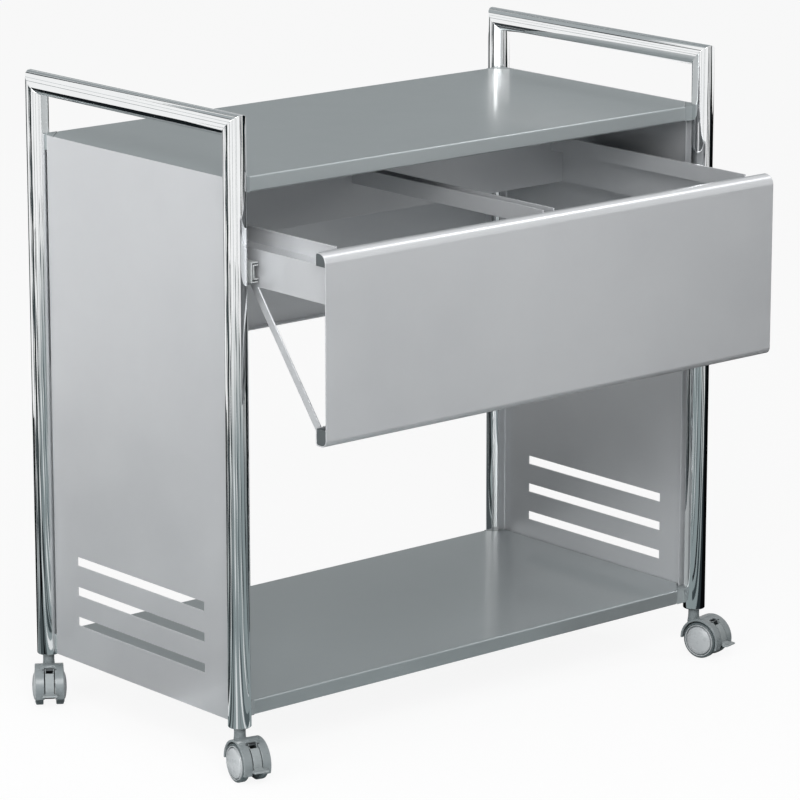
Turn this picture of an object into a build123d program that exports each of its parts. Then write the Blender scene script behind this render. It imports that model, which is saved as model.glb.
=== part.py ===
from build123d import *
import math
import os

# Mobile cart for suspension files: two chromed tube frames carry two folded sheet shelves,
# two side panels and a back panel, and a suspension file drawer runs out between the posts
# on ball slides. Four twin-wheel casters plug into the posts.
# Millimetres. +Z is up, +X is to the right and +Y to the back. The floor is at z = 0.
# The drawer is built shut, then drawn out by drawer_out for the rest position.

# Tube frames
frame_width = 800.0  # between the post axes, side to side
frame_depth = 410.0  # between the post axes, front to back
frame_height = 850.0  # floor to the top of the hand rails
tube_radius = 15.0
tube_wall = 1.5
post_foot = 65.0  # floor to the cut ends of the posts

# Sheet metal
shelf_sheet = 1.5
panel_sheet = 1.5
drawer_sheet = 1.5
bend_radius = 2.5  # outside radius of a pressed edge
running_gap = 0.3  # between faces that slide or are only pushed together

# Shelves
top_shelf_drop = 82.0  # from the top of the hand rails to the upper face of the top shelf
low_shelf_z = 93.0  # upper face of the lower shelf
shelf_depth = 20.0  # height of a shelf's folded edge
shelf_lip = 10.0  # inward lip under a shelf's edge
shelf_setback = 5.0  # from a post axis to the shelf's front or back edge
saddle_thickness = 8.0  # from a tube's skin to a shelf's corner face
saddle_gap = 0.1
stiffener_width = 60.0
stiffener_height = 14.0
stiffener_inset = 30.0  # from a shelf's side edge to the stiffener's end

# Side and back panels
panel_bottom = 68.0
panel_fold = 13.5  # width of the inward folds
panel_bend = 4.0
panel_gap = 2.5  # from a post's skin to a panel's edge
relief_gap = 1.0  # from a shelf's edge to the cut in a side panel's folds
slot_length = 270.0
slot_height = 12.0
slot_pitch = 41.0
lowest_slot_z = 125.0
slot_count = 3
stud_pitch = 120.0
back_panel_drop = 6.0  # below the top shelf's folded edge
back_panel_fold = 14.0
back_screw_inset = 40.5  # from the back panel's upper and lower edges to its outer screws

# Screws, studs and nuts
screw_radius = 2.5
screw_clearance = 0.1
screw_head_radius = 4.4
screw_head_height = 3.0
screw_bite = 8.0  # length of a screw inside a tube
nut_radius = 4.6
nut_height = 4.0
stud_length = 9.0
spacer_radius = 6.0

# Drawer
drawer_out = 138.0  # how far the drawer stands open at rest
front_drop = 71.0  # from the top shelf's upper face to the top of the drawer front
front_height = 242.0
front_depth = 20.0
front_end_gap = 2.5  # from a post's skin to the end of the drawer front
top_roll = 17.0  # height of the roll along the upper edge
low_roll = 22.0  # height of the roll along the lower edge
top_roll_radius = 13.0
low_roll_radius = 9.0
back_roll_radius = 4.0
end_cap_width = 6.0
cap_gap = 0.1
side_drop = 66.0  # from the top of the drawer front to a side's lower edge
side_height = 47.5  # from a side's lower edge to the step between its two walls
rail_height = 20.5  # from the step up to the top of the file rails
rail_inset = 24.0  # from a side's outer wall to its file rail
rail_bead = 1.2
front_flange = 15.0
centre_rail_width = 20.0
drawer_back_height = 60.0
drawer_back_flange = 12.0
drawer_back_gap = 10.0  # from the shut drawer to the back panel
brace_width = 11.0
brace_sheet = 2.0
brace_reach = 143.0  # from the back of the drawer front to the brace's upper end
brace_lap = 17.5  # height of a brace's upper end on the drawer's side
brace_tab = 12.0
rivet_radius = 2.0
rivet_head_radius = 3.5
rivet_head_height = 1.0

# Ball slides
slide_rise = 20.0  # from a side's lower edge to the middle of its slide
slide_height = 26.0
slide_space = 13.0  # from a post's skin to a drawer side
slide_sheet = 1.2
slide_back_overrun = 2.0  # the outer rail past the back post's axis
ball_radius = 1.15
ball_sides = 8
ball_gap = 0.05
cage_sheet = 0.8
cage_width = 4.4
cage_length = 150.0
cage_balls = 6
cage_start = 141.0  # from the back of the shut drawer's front to the cages
inner_setback = 143.0  # from the back of the drawer's front to the inner rails
middle_web_gap = 2.0  # between the webs of the outer and middle rails
low_head_height = 1.5
slide_end_gap = 1.0

# Casters
wheel_radius = 25.0
wheel_inner_y = 8.5  # from the middle of the caster to a wheel's inner face
tread_width = 10.0
tread_corner = 1.0
wheel_dome = 4.5
wheel_cap_radius = 7.0  # of the flat middle of a wheel's face
rim_width = 3.0  # of the raised rim round a wheel's face
rim_step = 0.9
axle_end_gap = 0.2  # from the axle's end to the bottom of a wheel's bore
caster_trail = 21.0
hood_gap = 2.0
hood_wall = 3.0
hood_half_width = 19.0
hood_low_angle = -22.0  # angles about the axle, up from the trailing direction
hood_high_angle = 181.0
web_high_angle = 200.0
web_half_width = 7.0
wedge_steps = 8  # sides of the wedges that cut the hood
wedge_share = 1.2  # of the radius that a wedge covers, out to its corners
neck_radius = 7.5
neck_gap = 1.0  # between a neck and the post above it
stem_radius = 4.0
stem_tip = 1.0
stem_reach = 40.0  # length of a stem inside its post
stem_seat = 34.0  # length of a stem inside its housing
socket_length = 42.0
axle_radius = 3.0
shaft_gap = 0.05
brake_half_width = 6.5
brake_side_gap = 0.6
brake_slot_depth = 7.0  # into the web, below the wheels' rims
brake_slot_spare = 20.0  # angle of the slot past the pivot
brake_arm_reach = 5.0  # from the hood out to the pad
brake_arm_height = 4.0
brake_pad_width = 20.0
brake_pad_reach = 12.0
brake_pad_height = 4.0
brake_pad_corner = 3.0
brake_pad_angle = -2.0
brake_low_angle = -8.0
brake_wall = 2.6
brake_pivot_angle = 62.0
brake_pivot_height = 2.0  # from the inside of the hood to the pivot
brake_pin_radius = 1.5
brake_pin_seat = 2.4  # length of the pin in each side of the slot
brake_eye_radius = 3.0

# Worked out from the sizes above
post_x = frame_width / 2
front_y = -frame_depth / 2
back_y = frame_depth / 2
rail_z = frame_height - tube_radius
top_shelf_z = frame_height - top_shelf_drop
front_top = top_shelf_z - front_drop
front_bottom = front_top - front_height
back_panel_bottom = front_bottom
side_bottom = front_top - side_drop
side_step_z = side_bottom + side_height
rail_top = side_step_z + rail_height
slide_z = side_bottom + slide_rise
corner_reach = tube_radius + saddle_thickness
screw_hole = screw_radius + screw_clearance
panel_face_x = post_x + panel_sheet / 2
shelf_half_x = post_x - panel_sheet / 2
panel_y = frame_depth / 2 - tube_radius - panel_gap
front_face = front_y - tube_radius
front_back = front_face + front_depth
front_half_x = post_x - tube_radius - front_end_gap
side_x = post_x - tube_radius - slide_space
file_rail_x = side_x - rail_inset
back_fold_y = back_y - back_panel_fold / 2
drawer_rear = back_fold_y - drawer_back_gap
side_rear = drawer_rear - drawer_back_flange
slide_face_x = post_x - tube_radius - running_gap
slide_front = front_face + drawer_sheet + slide_end_gap
slide_rear = drawer_rear - slide_end_gap
hood_radius = wheel_radius + hood_gap + hood_wall
corners = {
    "left_front": (-1, front_y, 1, -102.0),
    "left_back": (-1, back_y, -1, -125.0),
    "right_front": (1, front_y, 1, -78.0),
    "right_back": (1, back_y, -1, -55.0),
}
sides = {"left": -1, "right": 1}


def block(x_range, y_range, z_range):
    """A box between two bounds on each axis, given in either order."""
    middle = [(low + high) / 2 for low, high in (x_range, y_range, z_range)]
    size = [abs(high - low) for low, high in (x_range, y_range, z_range)]
    return Pos(*middle) * Box(*size)


def rod(start, end, radius):
    """A round bar from one point to another."""
    run = Vector(*end) - Vector(*start)
    bar = Cylinder(radius, run.length, align=(Align.CENTER, Align.CENTER, Align.MIN))
    return Plane(origin=start, z_dir=run) * bar


def joined(pieces):
    """One solid from pieces that touch or overlap."""
    first, *rest = pieces
    for piece in rest:
        first = first + piece
    return first


def cut_by(body, tools):
    """The body with each tool taken out of it."""
    for tool in tools:
        body = body - tool
    return body


def x_edges(body, near_y, near_z):
    """The edge along X that lies nearest a place on the YZ plane."""
    place = (near_y, near_z)
    edges = body.edges().filter_by(Axis.X)
    return min(edges, key=lambda edge: math.dist((edge.center().Y, edge.center().Z), place))


def cap_screw(seat, direction, reach, head_height=screw_head_height):
    """A screw with a plain round head, seated at a point."""
    shank = Cylinder(screw_radius, reach, align=(Align.CENTER, Align.CENTER, Align.MIN))
    head = Cylinder(screw_head_radius, head_height, align=(Align.CENTER, Align.CENTER, Align.MAX))
    return Plane(origin=seat, z_dir=direction) * (shank + head)


# Tube frames


def corner_point(side, post_y, toward, distance, z):
    """A point on the diagonal from a post's axis into the cart."""
    step = distance / math.sqrt(2)
    return (side * (post_x - step), post_y + toward * step, z)


def corner_hole(side, post_y, toward, z):
    """The path of one corner screw, from inside the post to inside the shelf."""
    start = corner_point(side, post_y, toward, tube_radius - screw_bite - tube_wall, z)
    end = corner_point(side, post_y, toward, corner_reach + 2 * shelf_sheet, z)
    return rod(start, end, screw_hole)


def shelf_bolt_heights():
    """Heights of the corner screws: halfway up each shelf's edge."""
    return [top - shelf_depth / 2 for top in (top_shelf_z, low_shelf_z)]


def back_screw_heights():
    """Heights of the back panel's screws on each post."""
    top = back_panel_top() - back_screw_inset
    bottom = back_panel_bottom + back_screw_inset
    return [bottom, (bottom + top) / 2, top]


def back_panel_top():
    """Upper edge of the back panel."""
    return top_shelf_z - shelf_depth - back_panel_drop


def post_holes(side, post_y, toward):
    """Screw holes through the inner wall of one post."""
    holes = [corner_hole(side, post_y, toward, z) for z in shelf_bolt_heights()]
    heights = [slide_z] + (back_screw_heights() if post_y > 0 else [])
    for z in heights:
        start = (side * (post_x - tube_radius / 2), post_y, z)
        holes.append(rod(start, (side * (post_x - tube_radius - tube_wall), post_y, z), screw_hole))
    return holes


def mitre(side, post_y, toward):
    """The plane on which a post meets its hand rail."""
    return Plane(origin=(side * post_x, post_y, rail_z), z_dir=(0, toward, 1))


def tube(start, end):
    """A round tube of the frame's size."""
    return rod(start, end, tube_radius) - rod(start, end, tube_radius - tube_wall)


def post(side, post_y, toward):
    """An upright tube, mitred at the top and drilled for its screws."""
    x = side * post_x
    upright = tube((x, post_y, post_foot), (x, post_y, frame_height))
    upright = split(upright, bisect_by=mitre(side, post_y, toward), keep=Keep.BOTTOM)
    return cut_by(upright, post_holes(side, post_y, toward))


def hand_rail(side):
    """The level tube along the top of a side frame, mitred at both ends."""
    x = side * post_x
    rail = tube((x, front_y - tube_radius, rail_z), (x, back_y + tube_radius, rail_z))
    rail = split(rail, bisect_by=mitre(side, front_y, 1), keep=Keep.TOP)
    return split(rail, bisect_by=mitre(side, back_y, -1), keep=Keep.TOP)


# Shelves


def shelf_outline(inset):
    """A shelf's plan: a rectangle with its corners cut off square to the posts' diagonals."""
    diagonal = (corner_reach + inset) * math.sqrt(2)
    half_x = shelf_half_x - inset
    half_y = frame_depth / 2 - shelf_setback - inset
    cut_x = post_x - diagonal + (frame_depth / 2 - half_y)
    cut_y = frame_depth / 2 - diagonal + (post_x - half_x)
    quarter = [(cut_x, -half_y), (half_x, -cut_y), (half_x, cut_y), (cut_x, half_y)]
    points = quarter + [(-x, y) for x, y in reversed(quarter)]
    return make_face(Polyline(*points, close=True))


def shelf_stiffener(top):
    """A channel along the middle of a shelf, open side up against the sheet."""
    half = stiffener_width / 2
    end = shelf_half_x - stiffener_inset
    under = top - shelf_sheet
    outer = block((-end, end), (-half, half), (under - stiffener_height, under))
    wall = shelf_sheet
    hollow = block((-end, end), (-half + wall, half - wall), (under - stiffener_height + wall, under))
    return outer - hollow


def stud_places(top):
    """Where the side panels' studs pass through a shelf's side edges."""
    return [(y, top - shelf_depth / 2) for y in (-stud_pitch, 0.0, stud_pitch)]


def shelf(top):
    """A folded sheet tray, face up, with a lip under its edges and a stiffening channel."""
    tray = Pos(0, 0, top - shelf_depth) * extrude(shelf_outline(0), shelf_depth)
    tray = fillet(tray.faces().sort_by(Axis.Z)[-1].edges(), bend_radius / 2)
    inside = shelf_depth - 2 * shelf_sheet
    tray = tray - Pos(0, 0, top - shelf_sheet - inside) * extrude(shelf_outline(shelf_sheet), inside)
    mouth = Pos(0, 0, top - shelf_depth) * extrude(shelf_outline(shelf_lip), shelf_sheet)
    tray = tray - mouth
    middle_z = top - shelf_depth / 2
    holes = [corner_hole(side, post_y, toward, middle_z) for side, post_y, toward, _ in corners.values()]
    for y, z in stud_places(top):
        for side in sides.values():
            inner = (side * (shelf_half_x - 2 * shelf_sheet), y, z)
            holes.append(rod(inner, (side * (shelf_half_x + shelf_sheet), y, z), screw_hole))
    return cut_by(tray, holes) + shelf_stiffener(top)


def saddle(side, post_y, toward, top):
    """A moulded block that fills a shelf's cut corner and seats on the round post."""
    diagonal = corner_reach * math.sqrt(2)
    edge_y = post_y + toward * shelf_setback
    near_x = side * (post_x - diagonal + shelf_setback)
    far_y = post_y + toward * (diagonal - (post_x - shelf_half_x))
    points = [(near_x, edge_y), (side * shelf_half_x, edge_y), (side * shelf_half_x, far_y)]
    body = extrude(make_face(Polyline(*points, close=True)), shelf_depth)
    body = Pos(0, 0, top - shelf_depth) * body
    x = side * post_x
    low, high = (x, post_y, top - 2 * shelf_depth), (x, post_y, top + shelf_depth)
    seat = rod(low, high, tube_radius + saddle_gap)
    return body - seat - corner_hole(side, post_y, toward, top - shelf_depth / 2)


def saddles(top):
    """The four corner blocks of one shelf."""
    return [saddle(side, post_y, toward, top) for side, post_y, toward, _ in corners.values()]


def shelf_screws():
    """Screws from inside the shelves' corners, through the saddles, into the posts."""
    screws = []
    for side, post_y, toward, _ in corners.values():
        for z in shelf_bolt_heights():
            seat = corner_point(side, post_y, toward, corner_reach + shelf_sheet, z)
            reach = corner_reach + shelf_sheet - tube_radius + screw_bite
            screws.append(cap_screw(seat, (side, -toward, 0), reach))
    return screws


# Side panels


def folded_sheet(half_y, bottom, top):
    """A flat sheet across Y with both upright edges folded to -X, its face at x = 0."""
    outer = block((-panel_fold, 0), (-half_y, half_y), (bottom, top))
    outer = fillet(outer.edges().filter_by(Axis.Z).sort_by(Axis.X)[-2:], panel_bend)
    half = half_y - panel_sheet
    inner = block((-panel_fold - panel_bend, -panel_sheet), (-half, half), (bottom, top))
    inner = fillet(inner.edges().filter_by(Axis.Z).sort_by(Axis.X)[-2:], panel_bend - panel_sheet)
    return outer - inner


def panel_slots():
    """The level slots low in a side panel, cut through its face."""
    slots = []
    for row in range(slot_count):
        z = lowest_slot_z + row * slot_pitch
        slots.append(Pos(0, 0, z) * Box(4 * panel_sheet, slot_length, slot_height))
    return slots


def side_panel(side):
    """A folded sheet between two posts, with slots, and welded studs for the shelves."""
    sheet = folded_sheet(panel_y, panel_bottom, top_shelf_z)
    relief_x = (-2 * panel_fold, -panel_sheet)
    reliefs = []
    for top in (top_shelf_z, low_shelf_z):
        relief_z = (top - shelf_depth - relief_gap, top + relief_gap)
        reliefs.append(block(relief_x, (-panel_y, panel_y), relief_z))
    reliefs.append(block(relief_x, (-panel_y, panel_y), (panel_bottom, low_shelf_z - shelf_depth)))
    sheet = cut_by(sheet, reliefs + panel_slots())
    for top in (top_shelf_z, low_shelf_z):
        for y, z in stud_places(top):
            sheet = sheet + rod((-panel_sheet, y, z), (-panel_sheet - stud_length, y, z), screw_radius)
    turned = Pos(panel_face_x, 0, 0) * sheet
    return turned if side > 0 else mirror(turned, about=Plane.YZ)


def panel_nuts():
    """Nuts on the side panels' studs, inside the shelves' edges."""
    hexagon = RegularPolygon(nut_radius, 6) - Circle(screw_hole)
    nuts = []
    for side in sides.values():
        for top in (top_shelf_z, low_shelf_z):
            for y, z in stud_places(top):
                seat = (side * (shelf_half_x - shelf_sheet), y, z)
                nuts.append(Plane(origin=seat, z_dir=(-side, 0, 0)) * extrude(hexagon, nut_height))
    return nuts


# Back panel


def back_panel():
    """A shallow sheet tray between the back posts, all four edges folded to the front."""
    half_x = post_x - tube_radius - panel_gap
    face_y = back_fold_y + back_panel_fold
    top = back_panel_top()
    outer = block((-half_x, half_x), (back_fold_y, face_y), (back_panel_bottom, top))
    outer = fillet(outer.faces().sort_by(Axis.Y)[-1].edges(), bend_radius)
    inner = block(
        (-half_x + panel_sheet, half_x - panel_sheet),
        (back_fold_y, face_y - panel_sheet),
        (back_panel_bottom + panel_sheet, top - panel_sheet),
    )
    half_rail = slide_height / 2 + running_gap
    holes = []
    for side in sides.values():
        near, far = side * (half_x - 2 * panel_sheet), side * (half_x + panel_sheet)
        for z in back_screw_heights():
            holes.append(rod((near, back_y, z), (far, back_y, z), screw_hole))
        notch_y = (back_fold_y - panel_sheet, face_y - panel_sheet)
        holes.append(block((near, far), notch_y, (slide_z - half_rail, slide_z + half_rail)))
    return cut_by(outer - inner, holes)


def back_spacers():
    """Rings between the back panel's ends and the round posts, hollowed to seat on them."""
    half_x = post_x - tube_radius - panel_gap
    rings = []
    for side in sides.values():
        foot, head = (side * post_x, back_y, 0), (side * post_x, back_y, frame_height)
        seat = rod(foot, head, tube_radius + saddle_gap)
        for z in back_screw_heights():
            start = (side * half_x, back_y, z)
            end = (side * (post_x - tube_radius / 2), back_y, z)
            rings.append(rod(start, end, spacer_radius) - rod(start, end, screw_hole) - seat)
    return rings


def back_screws():
    """Screws through the back panel's folded ends into the back posts."""
    seat_x = post_x - tube_radius - panel_gap - panel_sheet
    reach = panel_gap + panel_sheet + screw_bite
    screws = []
    for side in sides.values():
        for z in back_screw_heights():
            screws.append(cap_screw((side * seat_x, back_y, z), (side, 0, 0), reach))
    return screws


# Ball slides. Each rail is a channel, placed by its distance inward from the posts' skins.


def slide_heights():
    """Half heights of the three rails' outer faces, from the outer rail in."""
    step = slide_sheet + 2 * (ball_radius + ball_gap)
    half = slide_height / 2
    return half, half - step, half - 2 * step


def channel(side, depth_range, web_at_start, half_height, y_range):
    """A channel rail along Y. depth_range runs inward from the posts' skins."""
    near, far = [side * (slide_face_x - depth) for depth in depth_range]
    outer = block((near, far), y_range, (slide_z - half_height, slide_z + half_height))
    inward = -side * slide_sheet
    hollow_x = (near + inward, far) if web_at_start else (near, far - inward)
    half = half_height - slide_sheet
    return outer - block(hollow_x, y_range, (slide_z - half, slide_z + half))


def outer_rail(side):
    """The fixed rail, screwed to the front and back posts."""
    half, _, _ = slide_heights()
    depth = slide_space - running_gap - 2 * slide_sheet
    rail = channel(side, (0, depth), True, half, (slide_front, back_y + slide_back_overrun))
    holes = []
    for y in (front_y, back_y):
        start = (side * (slide_face_x + slide_sheet), y, slide_z)
        holes.append(rod(start, (side * (slide_face_x - 2 * slide_sheet), y, slide_z), screw_hole))
    return cut_by(rail, holes)


def slide_screws():
    """Low-headed screws that hold the outer rails to the posts."""
    screws = []
    for side in sides.values():
        for y in (front_y, back_y):
            seat = (side * (slide_face_x - slide_sheet), y, slide_z)
            reach = running_gap + slide_sheet + screw_bite
            screws.append(cap_screw(seat, (side, 0, 0), reach, low_head_height))
    return screws


def middle_rail(side):
    """The rail that runs between the outer and the inner rail."""
    _, half, _ = slide_heights()
    near = slide_sheet + middle_web_gap
    far = slide_space - running_gap - slide_sheet - 2 * running_gap
    return channel(side, (near, far), True, half, (slide_front, slide_rear))


def inner_rail(side):
    """The rail on the drawer's side, open towards the post."""
    _, _, half = slide_heights()
    far = slide_space - running_gap
    near = 2 * slide_sheet + middle_web_gap + 2 * running_gap
    return channel(side, (near, far), False, half, (front_back + inner_setback, slide_rear))


def ball():
    """A steel ball drawn with a few flat faces, narrower each way from its middle."""
    middle = RegularPolygon(ball_radius, ball_sides)
    pole = Pos(0, 0, ball_radius) * RegularPolygon(ball_radius / 2, ball_sides)
    half = loft([middle, pole])
    return half + mirror(half, about=Plane.XY)


def ball_strip(side, depth, height, start):
    """A thin strip with steel balls standing out of both faces."""
    x = side * (slide_face_x - depth)
    z = slide_z + height
    strip = Pos(x, start + cage_length / 2, z) * Box(cage_width, cage_length, cage_sheet)
    spacing = cage_length / cage_balls
    for number in range(cage_balls):
        strip = strip + Pos(x, start + spacing * (number + 0.5), z) * ball()
    return strip


def ball_cages(half_height, depth, start):
    """Upper and lower ball strips of both slides, outside a rail of one half height."""
    height = half_height + ball_radius + ball_gap
    places = [(side, sign * height) for side in sides.values() for sign in (-1, 1)]
    return [ball_strip(side, depth, z, start) for side, z in places]


def outer_cages():
    """Balls between the outer and middle rails."""
    _, middle, _ = slide_heights()
    depth = slide_sheet + middle_web_gap + cage_width / 2 + ball_radius
    return ball_cages(middle, depth, front_back + cage_start)


def inner_cages():
    """Balls between the middle and inner rails, half as far out as the drawn-out drawer."""
    _, _, inner = slide_heights()
    depth = 2 * slide_sheet + middle_web_gap + cage_width / 2 + ball_radius
    return ball_cages(inner, depth, front_back + cage_start - drawer_out / 2)


# Drawer, shut


def front_section(inset):
    """The drawer front's outline along its whole length, drawn in by an inset."""
    low_y, high_y = front_face + inset, front_back - inset
    low_z, high_z = front_bottom + inset, front_top - inset
    body = block((-front_half_x, front_half_x), (low_y, high_y), (low_z, high_z))
    rounds = [
        (low_y, high_z, top_roll_radius),
        (low_y, low_z, low_roll_radius),
        (high_y, high_z, back_roll_radius),
        (high_y, low_z, back_roll_radius),
    ]
    for y, z, radius in rounds:
        body = fillet(x_edges(body, y, z), radius - inset)
    return body


def drawer_front():
    """One sheet, rolled back on itself along its upper and lower edges."""
    shell = front_section(0) - front_section(drawer_sheet)
    open_z = (front_bottom + low_roll, front_top - top_roll)
    length = (-front_half_x, front_half_x)
    return shell - block(length, (front_back - 2 * drawer_sheet, front_back), open_z)


def end_caps():
    """Plugs in the open ends of the two rolls."""
    filling = front_section(drawer_sheet + cap_gap)
    depth = (front_face, front_back)
    caps = []
    for side in sides.values():
        ends = (side * (front_half_x - end_cap_width), side * front_half_x)
        caps.append(filling & block(ends, depth, (front_top - top_roll, front_top)))
        caps.append(filling & block(ends, depth, (front_bottom, front_bottom + low_roll)))
    return caps


def drawer_side(side):
    """A stepped sheet side: outer wall, step, and the raised rail that the files hang on."""
    sheet = drawer_sheet
    start = front_face + sheet
    outer, inner = side * side_x, side * (side_x - sheet)
    rail_out, rail_in = side * (file_rail_x + sheet), side * file_rail_x
    wall = block((outer, inner), (start, side_rear), (side_bottom, side_step_z))
    step = block((outer, rail_in), (start, side_rear), (side_step_z - sheet, side_step_z))
    rail = block((rail_out, rail_in), (front_back, side_rear), (side_step_z - sheet, rail_top))
    bead_x = side * (file_rail_x + sheet + rail_bead)
    bead = block((bead_x, rail_in), (front_back, side_rear), (rail_top - 2 * rail_bead, rail_top))
    flange = block(
        (outer, side * (side_x - front_flange)),
        (start, start + sheet),
        (side_bottom, side_step_z),
    )
    return joined([wall, step, rail, bead, flange]) - rivet_hole(side)


def drawer_back():
    """A channel across the back of the drawer, its web to the front."""
    z_range = (side_bottom, side_bottom + drawer_back_height)
    outer = block((-side_x, side_x), (side_rear, drawer_rear), z_range)
    low, high = z_range
    hollow_z = (low + drawer_sheet, high - drawer_sheet)
    return outer - block((-side_x, side_x), (side_rear + drawer_sheet, drawer_rear), hollow_z)


def centre_rail():
    """An upright channel down the middle, whose two walls carry the inner file hooks."""
    half = centre_rail_width / 2
    z_range = (side_step_z - drawer_sheet, rail_top)
    outer = block((-half, half), (front_back, side_rear), z_range)
    wall = drawer_sheet
    return outer - block((-half + wall, half - wall), (front_back, side_rear), (side_step_z, rail_top))


def brace_ends(side):
    """The upper and lower ends of a brace's middle line, inside the drawer's side."""
    x = side * (side_x - drawer_sheet)
    top = (x, front_back + brace_reach, side_bottom + brace_width)
    low = (x, front_back + brace_width / 2, front_bottom + low_roll / 2)
    return top, low


def brace(side):
    """A flat bar from the drawer's side down to the lower roll of the front, with a bent foot."""
    top, low = brace_ends(side)
    run = Vector(*top) - Vector(*low)
    thick = side * brace_sheet
    bar = Plane(origin=low, x_dir=(0, run.Y, run.Z), z_dir=(-side, 0, 0)) * Box(
        2 * run.length, brace_width, brace_sheet, align=(Align.CENTER, Align.CENTER, Align.MIN)
    )
    space = block(
        (top[0], top[0] - thick),
        (front_back, top[1] + brace_width / 2),
        (front_bottom + back_roll_radius, side_bottom + brace_lap),
    )
    foot = block(
        (top[0], top[0] - side * brace_tab),
        (front_back, front_back + brace_sheet),
        (front_bottom + back_roll_radius, front_bottom + low_roll),
    )
    return (bar & space) + foot - rivet_hole(side)


def rivet_centre(side):
    """Where a brace is riveted to its side, on the side's outer face."""
    top, _ = brace_ends(side)
    return (side * side_x, top[1] - brace_width / 2, side_bottom + brace_width / 2)


def rivet_hole(side):
    """A hole through a side and its brace."""
    _, y, z = rivet_centre(side)
    start = (side * (side_x + drawer_sheet), y, z)
    end = (side * (side_x - 2 * brace_sheet), y, z)
    return rod(start, end, rivet_radius + screw_clearance)


def rivets():
    """Rivets with a head on each face that hold the braces to the sides."""
    pieces = []
    for side in sides.values():
        _, y, z = rivet_centre(side)
        outer = side_x
        inner = side_x - drawer_sheet - brace_sheet
        shank = rod((side * outer, y, z), (side * inner, y, z), rivet_radius)
        head = rod((side * outer, y, z), (side * (outer + rivet_head_height), y, z), rivet_head_radius)
        tail = rod((side * inner, y, z), (side * (inner - rivet_head_height), y, z), rivet_head_radius)
        pieces.append(shank + head + tail)
    return pieces


# Casters, built about the stem's axis with the wheels trailing to +X, then turned into place


def place_caster(shape, corner):
    """A caster's piece, moved under its post and swivelled to its rest direction."""
    side, post_y, _, angle = corner
    return Pos(side * post_x, post_y, 0) * Rot(0, 0, angle) * shape


def axle_point(y):
    """A point on the caster's axle."""
    return (caster_trail, y, wheel_radius)


def disc(radius, half_width):
    """A short cylinder about the axle."""
    return rod(axle_point(-half_width), axle_point(half_width), radius)


def rim_point(radius, degrees):
    """A point about the axle, in the caster's middle plane."""
    angle = math.radians(degrees)
    return (caster_trail + radius * math.cos(angle), wheel_radius + radius * math.sin(angle))


def sector(radius, low_angle, high_angle, half_width):
    """A wedge about the axle between two directions."""
    turn = (high_angle - low_angle) / wedge_steps
    reach = radius * wedge_share
    rim = [rim_point(reach, low_angle + turn * step) for step in range(wedge_steps + 1)]
    outline = [(caster_trail, wheel_radius)] + rim
    face = Plane.XZ * make_face(Polyline(*outline, close=True))
    return extrude(face, half_width, both=True)


def brake_slot():
    """The opening in the hood that the brake lever works in."""
    half = brake_half_width + brake_side_gap
    ring = disc(hood_radius + brake_eye_radius, half) - disc(wheel_radius - brake_slot_depth, half)
    low_angle = 2 * hood_low_angle
    return ring & sector(hood_radius, low_angle, brake_pivot_angle + brake_slot_spare, half)


def caster_housing():
    """A hood over both wheels, with the web between them and the neck for the stem."""
    inside = wheel_radius + hood_gap
    wheel_space = disc(inside, hood_half_width) - disc(inside, web_half_width)
    hood = disc(hood_radius, hood_half_width) - disc(inside, hood_half_width)
    hood = hood & sector(hood_radius, hood_low_angle, hood_high_angle, hood_half_width)
    web = disc(inside + hood_wall / 2, web_half_width)
    web = web & sector(hood_radius, hood_low_angle, web_high_angle, web_half_width)
    neck_top = post_foot - neck_gap
    neck = rod((0, 0, wheel_radius), (0, 0, neck_top), neck_radius)
    boss_half = brake_half_width + brake_side_gap + brake_pin_seat + brake_wall
    x, z = brake_pivot()
    boss = rod((x, -boss_half, z), (x, boss_half, z), brake_eye_radius)
    stem_hole = rod((0, 0, neck_top - stem_seat), (0, 0, post_foot), stem_radius + shaft_gap)
    axle_hole = disc(axle_radius + shaft_gap, wheel_inner_y)
    body = joined([hood, web, neck, boss])
    return cut_by(body, [wheel_space, brake_slot(), stem_hole, axle_hole, brake_pin_hole()])


def stem():
    """The steel pin that turns in the post's socket."""
    pin = rod((0, 0, post_foot - neck_gap - stem_seat), (0, 0, post_foot + stem_reach), stem_radius)
    return chamfer(pin.faces().sort_by(Axis.Z)[-1].edges(), stem_tip)


def socket(side, post_y, toward):
    """The plastic plug in the end of a post, bored for the stem and for the corner screw."""
    low = (side * post_x, post_y, post_foot)
    high = (side * post_x, post_y, post_foot + socket_length)
    plug = rod(low, high, tube_radius - tube_wall - saddle_gap) - rod(low, high, stem_radius + shaft_gap)
    return plug - corner_hole(side, post_y, toward, low_shelf_z - shelf_depth / 2)


def axle():
    """The steel pin through the web and into both wheels."""
    return disc(axle_radius, wheel_inner_y + tread_width)


def wheel_section():
    """Half of a wheel's section, by radius and by distance from its inner face."""
    bore = axle_radius + shaft_gap
    bore_end = tread_width + axle_end_gap
    crown = tread_width + wheel_dome
    rim = wheel_radius - rim_width
    return [
        (0, bore_end),
        (bore, bore_end),
        (bore, 0),
        (wheel_radius, 0),
        (wheel_radius, tread_width - tread_corner),
        (wheel_radius - tread_corner, tread_width),
        (rim, tread_width),
        (rim, tread_width - rim_step),
        (wheel_cap_radius, crown),
        (0, crown),
    ]


def wheel(sign):
    """One wheel: a plain tread, a raised rim and a face that rises to a flat middle."""
    section = make_face(Polyline(*wheel_section(), close=True))
    body = revolve(Plane.XZ * section, Axis.Z)
    return Plane(origin=axle_point(sign * wheel_inner_y), z_dir=(0, sign, 0)) * body


def brake_pivot():
    """The centre of the brake lever's pin, in the caster's middle plane."""
    return rim_point(wheel_radius + hood_gap + brake_pivot_height, brake_pivot_angle)


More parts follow.
